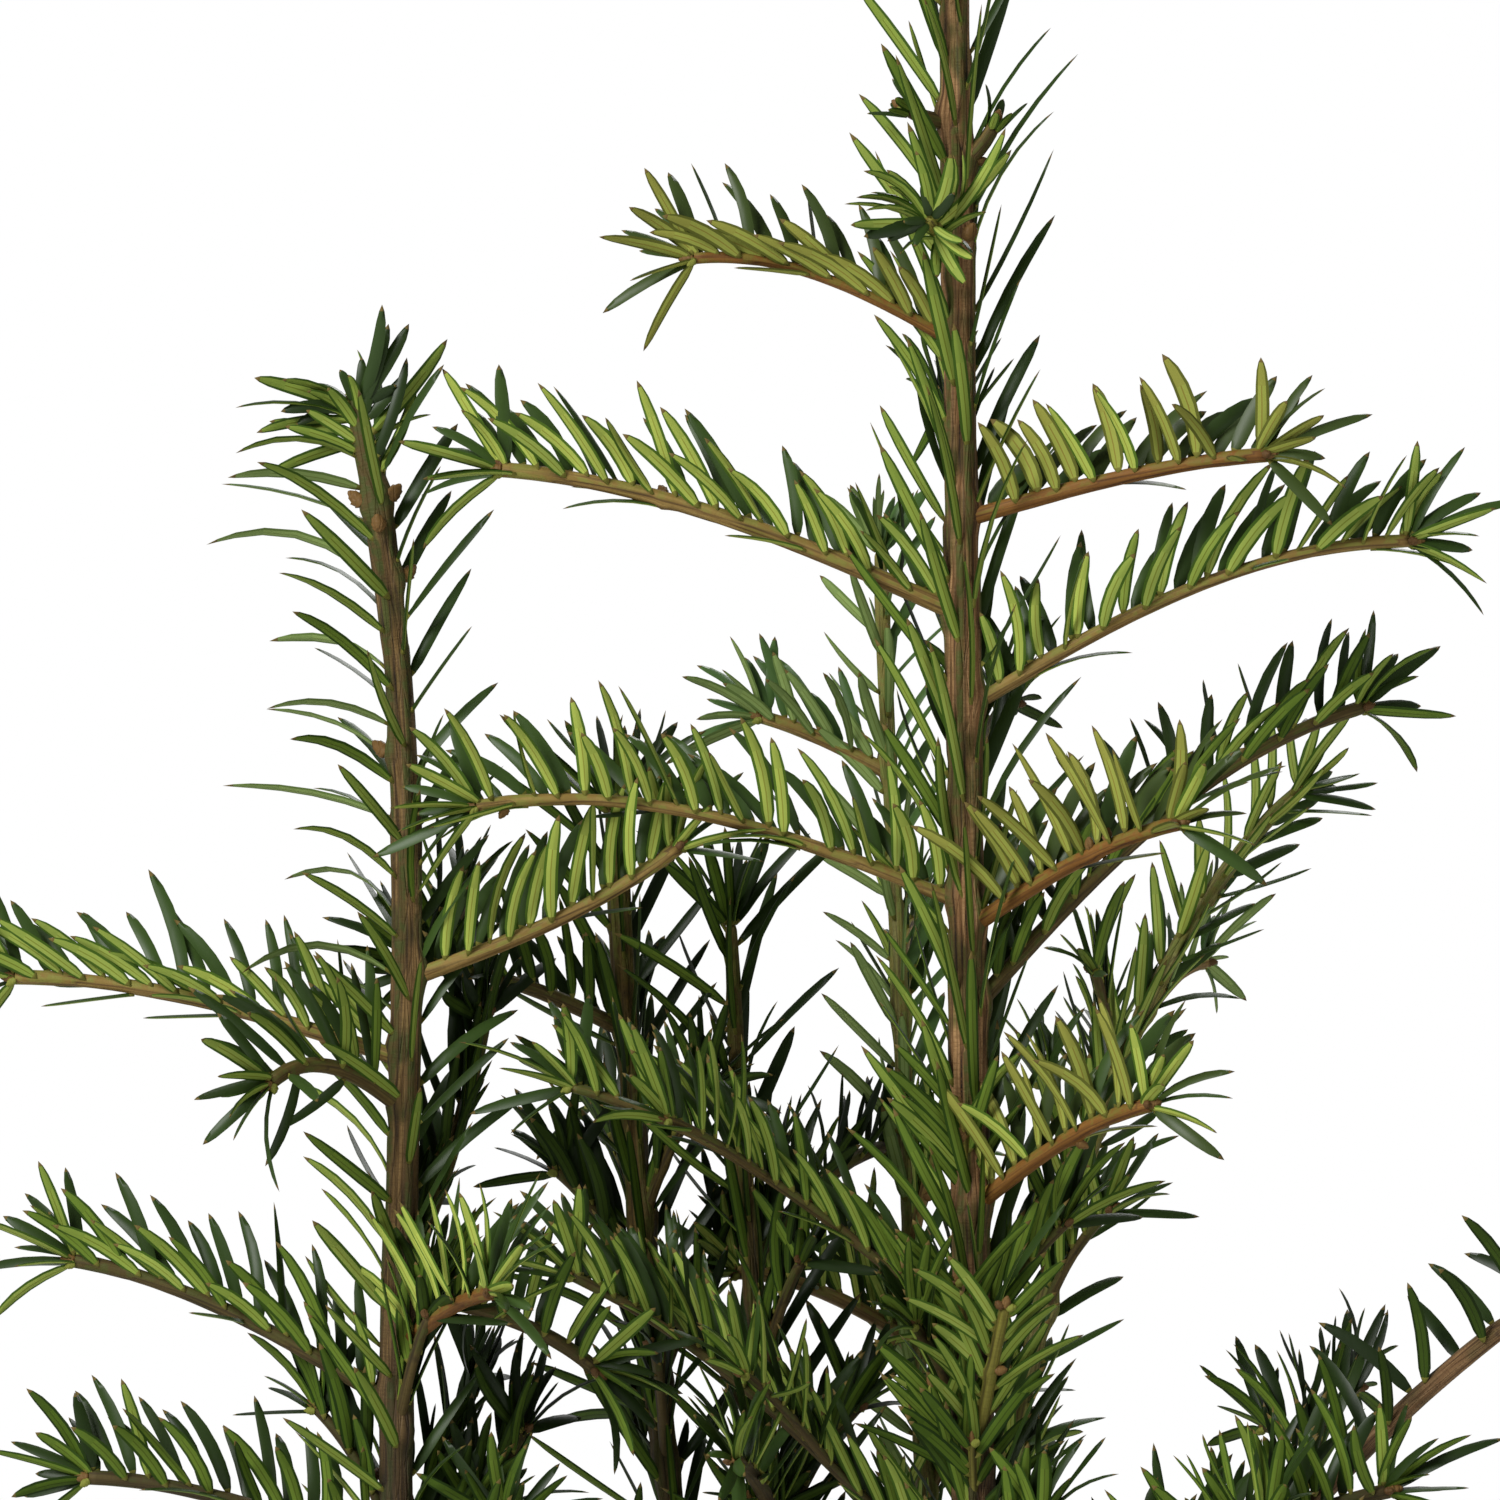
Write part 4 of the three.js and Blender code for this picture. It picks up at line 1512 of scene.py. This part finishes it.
@dataclass(frozen=True)
class BarkRelief:
    """How bark stands out: ridges that run down from the needles' feet, knots, and unevenness.

    Sunk is how far the bark between the ridges lies within the limb's own radius. The unevenness is noise
    over places that are drawn out along the limb, and half as much of a finer one.
    """

    ridge_reach: float
    ridge_width: float
    ridge_height: float
    uneven: float
    sunk: float
    ridge_fade: float = 0.3
    ridge_top: float = 0.8
    knot_reach: float = 1.3
    knot_height: float = 0.5
    noise_across: float = 0.8
    noise_along: float = 0.12
    finer: float = 2.7

    def lay(
        self,
        path: Limb | Twig,
        share: np.ndarray,
        turn: np.ndarray,
        inner: np.ndarray,
        ridges: Sequence[Needle],
        knots: Sequence[Knot],
    ) -> tuple[np.ndarray, np.ndarray, np.ndarray]:
        """Lays the points of a rod along a path and gives them their relief.

        Args:
            path: The limb or twig.
            share: How far along it each point lies, from 0 to 1.
            turn: Each point's angle round it.
            inner: Each point's share of the radius, 1 on the bark.
            ridges: The needles that stand on it.
            knots: Its knots.

        Returns:
            Places in millimetres, places in the grain, and each point's share of ridge.
        """
        levels, which = np.unique(np.round(share, 5), return_inverse=True)
        stands = [path.stand(float(t)) for t in levels]
        at = np.array([stand.at for stand in stands])[which]
        across = np.array([stand.across for stand in stands])[which]
        above = np.array([stand.above for stand in stands])[which]
        radius = np.array([path.radius_at(float(t)) for t in levels])[which]
        angle = np.radians(turn)
        away = across * np.cos(angle)[:, None] - above * np.sin(angle)[:, None]
        run = share * path.length
        height, ridged = self.height(run, turn, radius, ridges, knots)
        grain = np.column_stack((np.cos(angle) * radius, np.sin(angle) * radius, run))
        for i, (x, y, z) in enumerate(grain):
            spot = Vector((x * self.noise_across, y * self.noise_across, z * self.noise_along))
            height[i] += self.uneven * (noise.noise(spot) + 0.5 * noise.noise(spot * self.finer))
        return at + away * ((radius + height) * inner)[:, None], grain, ridged

    def height(
        self,
        run: np.ndarray,
        turn: np.ndarray,
        radius: np.ndarray,
        ridges: Sequence[Needle],
        knots: Sequence[Knot],
    ) -> tuple[np.ndarray, np.ndarray]:
        """Gives how far ridges and knots stand out at each point, and its share of ridge."""

        def beside(middle: float) -> np.ndarray:
            """Gives how far each point lies round the limb from an angle."""
            return np.radians((turn - middle + 180) % 360 - 180) * radius

        ridged = np.zeros_like(run)
        for needle in ridges:
            below = needle.run - run
            fade = np.clip(1 - below / self.ridge_reach, 0, 1) ** self.ridge_fade
            fade = fade * (below > -self.ridge_width * self.ridge_top)
            ridged = np.maximum(ridged, np.exp(-((beside(needle.turn) / self.ridge_width) ** 2)) * fade)
        height = self.ridge_height * ridged - self.sunk
        for knot in knots:
            away = (run - knot.run) ** 2 + beside(knot.turn) ** 2
            near = np.exp(-away / (self.knot_reach * knot.size) ** 2)
            height = height + self.knot_height * knot.size * near
        return height, ridged


LIMB_RELIEF = BarkRelief(ridge_reach=27.0, ridge_width=0.95, ridge_height=0.55, uneven=0.12, sunk=0.4)
TWIG_RELIEF = BarkRelief(ridge_reach=11.0, ridge_width=0.5, ridge_height=0.26, uneven=0.06, sunk=0.14)


@dataclass
class BarkedLimb:
    """A limb's bark: a rod extruded ring by ring, laid along the limb and given its relief."""

    limb: Limb
    needles: Sequence[Needle]
    knots: Sequence[Knot]
    sides: int = 48
    ring_step: float = 2.0
    ridge_every: int = 2

    def rod(self) -> bpy.types.Object:
        """Extrudes a straight rod of unit radius, one ring for each step of the limb."""
        rings = int(self.limb.length / self.ring_step)
        bpy.ops.object.select_all(action="DESELECT")
        bpy.ops.mesh.primitive_circle_add(vertices=self.sides, radius=1.0, fill_type="NGON")
        rod = bpy.context.object
        bpy.ops.object.mode_set(mode="EDIT")
        for _ in range(rings):
            bpy.ops.mesh.extrude_region_move(TRANSFORM_OT_translate={"value": (0, 0, 1 / rings)})
        bpy.ops.mesh.select_all(action="SELECT")
        bpy.ops.mesh.normals_make_consistent(inside=False)
        bpy.ops.object.mode_set(mode="OBJECT")
        return rod

    def build(self, material: bpy.types.Material) -> bpy.types.Object:
        """Lays the rod along the limb with its relief, and dresses it.

        Args:
            material: The bark.

        Returns:
            The finished piece.
        """
        piece = self.rod()
        piece.name = piece.data.name = f"{self.limb.name}-bark"
        mesh = piece.data
        local = np.zeros(len(mesh.vertices) * 3)
        mesh.vertices.foreach_get("co", local)
        x, y, z = local.reshape(-1, 3).T
        turn, inner = np.degrees(np.arctan2(y, x)), np.hypot(x, y)
        ridges = self.needles[:: self.ridge_every]
        places, grain, ridged = LIMB_RELIEF.lay(self.limb, z, turn, inner, ridges, self.knots)
        mesh.vertices.foreach_set("co", (places * MM).ravel())
        set_skin(mesh, grain, ridged)
        mesh.materials.append(material)
        mesh.shade_smooth()
        mesh.update()
        return piece


@dataclass
class TwigWork:
    """Makes the wood of every side twig, with a ridge down from each needle."""

    sides: int = 14
    ring_step: float = 1.6
    fewest_rings: int = 4
    joined: JoinedMesh = field(default_factory=JoinedMesh)

    def add(self, twig: Twig, needles: Sequence[Needle], knots: Sequence[Knot], slot: int) -> None:
        """Adds one twig.

        Args:
            twig: The twig.
            needles: The needles that stand on it.
            knots: Its knots.
            slot: Its material slot.
        """
        rings = max(int(twig.length / self.ring_step), self.fewest_rings)
        share = np.append(np.repeat(np.linspace(0, 1, rings), self.sides), (0.0, 1.0))
        turn = np.append(np.tile(np.arange(self.sides) * 360 / self.sides, rings), (0.0, 0.0))
        inner = np.append(np.ones(rings * self.sides), (0.0, 0.0))
        places, grain, ridged = TWIG_RELIEF.lay(twig, share, turn, inner, needles, knots)
        faces = tube_faces(rings, self.sides)
        self.joined.add(places[None], faces, np.full((1, len(faces)), slot), skin=(grain, ridged))


# ---- Buds ----------------------------------------------------------------------------------------------


class Bud(Enum):
    """The skins of buds, each with its sRGB colour."""

    BROWN = (100, 74, 38)
    DARK = (82, 58, 30)
    GREEN = (112, 116, 46)


@dataclass
class BudWork:
    """Makes scaly buds: an egg shape whose rows of scales overlap.

    Each row has its place along the bud and its width, and three lobes that turn from row to row.
    """

    sides: int = 9
    rows: tuple[Range, ...] = (
        (0.0, 0.55), (0.18, 0.95), (0.2, 0.84), (0.45, 1.0), (0.47, 0.86), (0.72, 0.74), (0.74, 0.6),
        (0.93, 0.3),
    )
    lobe_depth: float = 0.09
    lobes: int = 3
    row_turn: float = 60.0
    foot_sunk: float = 0.2
    joined: JoinedMesh = field(default_factory=JoinedMesh)

    def add(self, at: np.ndarray, along: np.ndarray, size: Range, skin: Bud) -> None:
        """Adds one bud.

        Args:
            at: The middle of its foot.
            along: The direction in which it points.
            size: Its length and its largest radius.
            skin: What covers it.
        """
        length, radius = size
        across = unit(np.cross(along, UP if abs(along[2]) < 0.9 else RIGHT))
        stand = Stand(at, along, across, np.cross(across, along))
        places = []
        for row, (reach, width) in enumerate(self.rows):
            for i in range(self.sides):
                turn = 360 * (i + 0.5 * (row % 4 > 1)) / self.sides
                lobe = 1 + self.lobe_depth * math.cos(math.radians(self.lobes * turn + self.row_turn * row))
                places.append(at + along * reach * length + stand.away(turn) * radius * width * lobe)
        places += [at - along * self.foot_sunk, at + along * length]
        faces = tube_faces(len(self.rows), self.sides)
        slots = np.full((1, len(faces)), list(Bud).index(skin))
        self.joined.add(np.array(places)[None], faces, slots)


# ---- The shrub -----------------------------------------------------------------------------------------


@dataclass
class Shoot:
    """A twig with the needles that stand on it."""

    twig: Twig
    needles: list[Needle]
    plan: SprayPlan


class Yew:
    """The whole shrub: bark, twigs, buds and needles, piece by piece."""

    fork_turn = 46.0
    fork_length = 0.34
    fork_rise = 12.0
    fork_radius = 0.8
    fine_length = 0.27
    spray_bare = 3.0
    flat_bare = 5.0
    checked = (0.35, 0.65, 0.95)
    clearance = 0.5
    rosette_forward = (0.15, 0.7)
    shoot_knot = 2.6
    shoot_knot_above = 2.0
    bud_knot = 2.2
    twig_knot = 1.2
    twig_knot_turn = 90.0
    twig_knot_swing = 60.0
    limb_bud = (4.2, 1.6)
    side_bud = (2.9, 1.05)
    side_bud_foot = 0.8
    side_bud_turns = (-0.9, 0.8)
    side_bud_along = 0.8
    spare_bud = (0.3, 0.8)
    spare_bud_one_in = 3
    ring_bud = (2.4, 0.9)
    ring_foot = 0.5
    end_bud_length = 3.2
    end_bud_radius = 1.6
    end_bud_share = 0.85
    stout_radius = 1.55

    def __init__(self) -> None:
        """Sets up the generators, rules and finishes."""
        self.chance = Chance(7119)
        self.rule = NeedleRule(Chance(404))
        self.form = NeedleForm()
        grain = grain_group()
        self.limb_barks = {age: finish.material(grain) for age, finish in LIMB_BARKS.items()}
        self.twig_barks = [finish.material(grain) for finish in TWIG_BARKS]
        glossy, matt = SkinFinish(), SkinFinish(roughness=0.62, specular=0.08, coat=0.0)
        scale = SkinFinish(roughness=0.6, coat=0.0, relief=0.5, scale=900.0)
        self.needle_skins = [
            (glossy if part is Part.UPPER else matt).material(
                f"Needle-{tint.name}-{part.name.lower()}", colour, grain
            )
            for tint in TINTS
            for part, colour in zip(Part, tint.colours())
        ]
        self.needle_skins += [
            matt.material(f"Needle-{end}", colour, grain)
            for end, colour in (("tip", NEEDLE_TIP), ("foot", NEEDLE_FOOT))
        ]
        self.bud_skins = [scale.material(f"Bud-{skin.name.lower()}", skin.value, grain) for skin in Bud]
        self.twig_work = TwigWork()
        self.bud_work = BudWork()
        shares = np.linspace(0, 1, 200)
        self.limb_places = np.array([limb.point(t) for limb in LIMBS for t in shares])
        self.limb_radii = np.array([limb.radius_at(t) for limb in LIMBS for t in shares])

    def grow(self, limb: Limb, plan: SprayPlan) -> list[Shoot]:
        """Grows one spray's twigs and their needles.

        Args:
            limb: What carries it.
            plan: Where and how it grows.

        Returns:
            Its shoots, the main one first.
        """
        t = limb.at_height(plan.height)
        stem = Twig(limb.point(t), plan.azimuth, plan.length, (plan.rise_foot, plan.rise_tip))
        stem.radius = (stem.radius[0] * plan.stout, stem.radius[1] * plan.stout)
        stem.bare = limb.radius_at(t) + self.spray_bare
        if plan.habit is Habit.ROSETTE:
            needles = self.rule.tufted(stem, plan.tint, ROSETTE, self.rosette_forward)
            return [Shoot(stem, needles, plan)]
        if plan.habit is Habit.FLAT:
            stem.bare = self.flat_bare
            return [Shoot(stem, self.rule.flat(stem, plan.tint), plan)]
        if plan.habit is Habit.STUB:
            return [Shoot(stem, self.rule.stub(stem, plan.tint), plan)]
        twigs = [stem]
        for i, share in enumerate(plan.forks):
            side = -1 if i % 2 else 1
            reach = plan.length * (self.fork_length if i == 0 else self.fine_length)
            radius = (stem.radius[0] * self.fork_radius, stem.radius[1] * self.fork_radius)
            rise = (plan.rise_tip + self.fork_rise, plan.rise_tip)
            azimuth = plan.azimuth + side * self.fork_turn
            twigs.append(Twig(stem.stand(share).at, azimuth, reach, rise, radius, self.rule.fork_bare))
        return [Shoot(twig, self.rule.on_twig(twig, plan, twig.bare), plan) for twig in twigs]

    def clear(self, needles: Iterable[Needle]) -> list[Needle]:
        """Drops the needles that would run into a limb."""
        kept = []
        for needle in needles:
            spots = [needle.foot + needle.along * needle.length * share for share in self.checked]
            if all(self.gap(spot) > self.clearance for spot in spots):
                kept.append(needle)
        return kept

    def gap(self, spot: np.ndarray) -> float:
        """Gives how far a point lies from the bark of the nearest limb."""
        return float((np.linalg.norm(self.limb_places - spot, axis=1) - self.limb_radii).min())

    def add_needles(self, name: str, needles: list[Needle], nodes: list[str]) -> None:
        """Joins needles into one piece that stands for some of the frame's nodes.

        Args:
            name: The piece's name.
            needles: The needles.
            nodes: The nodes.
        """
        if not needles:
            return
        form, joined = self.form, JoinedMesh()
        joined.add(form.places(needles), form.faces(), form.slots(needles), form.creases())
        self.finish(joined.build(name, self.needle_skins), "foliage", nodes)
        log.info("%s: %d needles", name, len(needles))

    def finish(self, piece: bpy.types.Object, slot: str, nodes: list[str]) -> None:
        """Fixes a piece to the shrub's one body and hides what it stands for."""
        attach(piece, "root")
        if nodes:
            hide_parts(*nodes)

    def build(self) -> None:
        """Builds every piece."""
        sprays: list[str] = []
        for leader in LEADERS:
            self.build_leader(leader)
            sprays += leader.nodes()
        self.finish(self.twig_work.joined.build("side-twigs", self.twig_barks), "bark", sprays)
        self.finish(self.bud_work.joined.build("buds", self.bud_skins), "bark", [])

    def build_leader(self, leader: Leader) -> None:
        """Builds a limb's bark, its own needles, and its sprays with their buds.

        Args:
            leader: The limb and what it carries.
        """
        limb, nodes, split = leader.limb, leader.nodes(), len(leader.sprays)
        own = self.clear(self.rule.on_leader(limb, leader.rule)) if leader.rule else []
        knots = []
        for plan in (*leader.plans(), *leader.finer()):
            stand = limb.stand(limb.at_height(plan.height))
            run = limb.at_height(plan.height + self.shoot_knot_above) * limb.length
            knots.append(Knot(run, stand.turn_of(on_level(plan.azimuth)), self.shoot_knot))
        for height, azimuth in leader.buds:
            t = limb.at_height(height)
            stand = limb.stand(t)
            away = unit(on_level(azimuth))
            knots.append(Knot(t * limb.length, stand.turn_of(away), self.bud_knot))
            foot = stand.at + away * limb.radius_at(t)
            self.bud_work.add(foot, unit(away + stand.along), self.limb_bud, Bud.BROWN)
        bark = BarkedLimb(limb, own, knots).build(self.limb_barks[leader.age])
        self.finish(bark, "bark", [limb.name])
        log.info("%s: %d faces", bark.name, len(bark.data.polygons))
        if leader.rule:
            self.end_buds(limb.stand(1), limb.radius_at(1))
        groups: dict[str, list[Needle]] = {"upper": [], "lower": []}
        for i, plan in enumerate((*leader.plans(), *leader.finer())):
            group = groups["lower" if i >= split or not leader.sprays else "upper"]
            for shoot in self.grow(limb, plan):
                shoot.needles = self.clear(shoot.needles)
                group += shoot.needles
                self.dress(shoot)
        self.add_needles(f"{limb.name}-own-needles", own, [f"{limb.name}-needles"])
        self.add_needles(f"{limb.name}-spray-needles", groups["upper"], nodes[:split])
        self.add_needles(f"{limb.name}-fine-needles", groups["lower"], nodes[split:])

    def dress(self, shoot: Shoot) -> None:
        """Makes a shoot's wood and its buds."""
        twig, plan = shoot.twig, shoot.plan
        # Twigs of sprays of middle tint and darker take the darker twig bark, as painted shade.
        bark = TWIG_PAINTED_SHADE if plan.tint <= MID else TWIG_ORANGE if plan.curl > 1 else TWIG_OLIVE
        if plan.habit in (Habit.ROSETTE, Habit.FLAT):
            bark = TWIG_GREEN
        swing = self.chance.swing
        knots = []
        for share in plan.buds:
            turn = self.twig_knot_turn + self.twig_knot_swing * swing()
            knots.append(Knot(share * twig.length, turn, self.twig_knot))
        self.twig_work.add(twig, shoot.needles, knots, TWIG_BARKS.index(bark))
        if plan.habit is not Habit.ROSETTE:
            self.end_buds(twig.stand(1), twig.radius[1])
        shares = list(plan.buds)
        if self.chance.one_in(self.spare_bud_one_in):
            shares.append(self.chance.between(*self.spare_bud))
        for share in shares:
            stand = twig.stand(share)
            upward = self.side_bud_turns[swing() > 0]
            out = unit(stand.across * swing() + stand.above * upward)
            foot = stand.at + out * twig.radius_at(share) * self.side_bud_foot
            along = unit(out + stand.along * self.side_bud_along)
            self.bud_work.add(foot, along, self.side_bud, Bud.BROWN)

    def end_buds(self, stand: Stand, radius: float) -> None:
        """Ends a twig or leader in its bud, with a ring of smaller ones on a stout one."""
        size = (self.end_bud_length, min(radius * self.end_bud_share, self.end_bud_radius))
        self.bud_work.add(stand.at, stand.along, size, Bud.BROWN)
        for i in range(3 if radius > self.stout_radius else 2):
            away = stand.away(i * GOLDEN_ANGLE)
            foot, skin = stand.at + away * radius * self.ring_foot, Bud.GREEN if i % 2 else Bud.DARK
            self.bud_work.add(foot, unit(stand.along + away), self.ring_bud, skin)


# ---- Room, light and camera ----------------------------------------------------------------------------


@dataclass(frozen=True)
class Softbox:
    """A square soft light that points at the shrub, in metres and watts."""

    name: str
    place: Point
    size: float
    power: float

    def build(self, aim: Vector) -> None:
        """Hangs the light and aims it.

        Args:
            aim: The point that it faces, in metres.
        """
        bpy.ops.object.select_all(action="DESELECT")
        bpy.ops.object.light_add(type="AREA", location=self.place)
        lamp = bpy.context.object
        lamp.name = self.name
        lamp.data.size = self.size
        lamp.data.energy = self.power
        lamp.rotation_euler = (aim - lamp.location).to_track_quat("-Z", "Y").to_euler()


@dataclass(frozen=True)
class Studio:
    """A pale round floor, a white surround, three softboxes and the camera, in metres."""

    floor_radius: float = 2.4
    floor_colour: tuple[float, ...] = (0.86, 0.86, 0.86, 1.0)
    floor_roughness: float = 0.9
    surround: float = 0.19
    backdrop: float = 1.0
    aim: Point = (-0.046, 0.0, 0.42)
    camera_place: Point = (-0.046, -1.3, 0.45)
    lens: float = 156.0
    softboxes: tuple[Softbox, ...] = (
        Softbox("Key", (-1.2, -1.15, 1.45), 0.8, 50.0),
        Softbox("Fill", (1.5, -1.3, 0.6), 1.2, 9.0),
        Softbox("Rim", (0.4, 1.5, 1.6), 1.0, 16.0),
    )

    def build(self) -> None:
        """Builds the studio."""
        self.build_floor()
        self.build_surround()
        for softbox in self.softboxes:
            softbox.build(Vector(self.aim))
        bpy.ops.object.select_all(action="DESELECT")
        bpy.ops.object.camera_add(location=self.camera_place, rotation=(math.pi / 2, 0.0, 0.0))
        camera = bpy.context.object
        camera.name = "Camera"
        camera.data.lens = self.lens
        bpy.context.scene.camera = camera
        bpy.context.scene.view_settings.view_transform = "Standard"

    def build_floor(self) -> None:
        """Lays the floor disc."""
        bpy.ops.object.select_all(action="DESELECT")
        bpy.ops.mesh.primitive_circle_add(vertices=96, radius=self.floor_radius, fill_type="NGON")
        floor = bpy.context.object
        floor.name = "Floor"
        mat, make, shader = new_material("PaleFloor")
        make.fill(shader, Base_Color=self.floor_colour, Roughness=self.floor_roughness)
        floor.data.materials.append(mat)

    def build_surround(self) -> None:
        """Sets the white surround: full white behind the shrub, and softer as a light."""
        world = bpy.data.worlds.new("Surround")
        bpy.context.scene.world = world
        world.use_nodes = True
        make = NodeSetup(world.node_tree)
        seen = make.add("ShaderNodeLightPath").outputs["Is Camera Ray"]
        strength = make.ranged(seen, 0.0, 1.0, self.surround, self.backdrop)
        background = world.node_tree.nodes["Background"]
        make.fill(background, Color=(1.0, 1.0, 1.0, 1.0), Strength=strength)


def main() -> None:
    """Builds the shrub and the studio."""
    logging.basicConfig(level=logging.INFO, format="%(message)s")
    Yew().build()
    Studio().build()


if __name__ == "__main__":
    main()
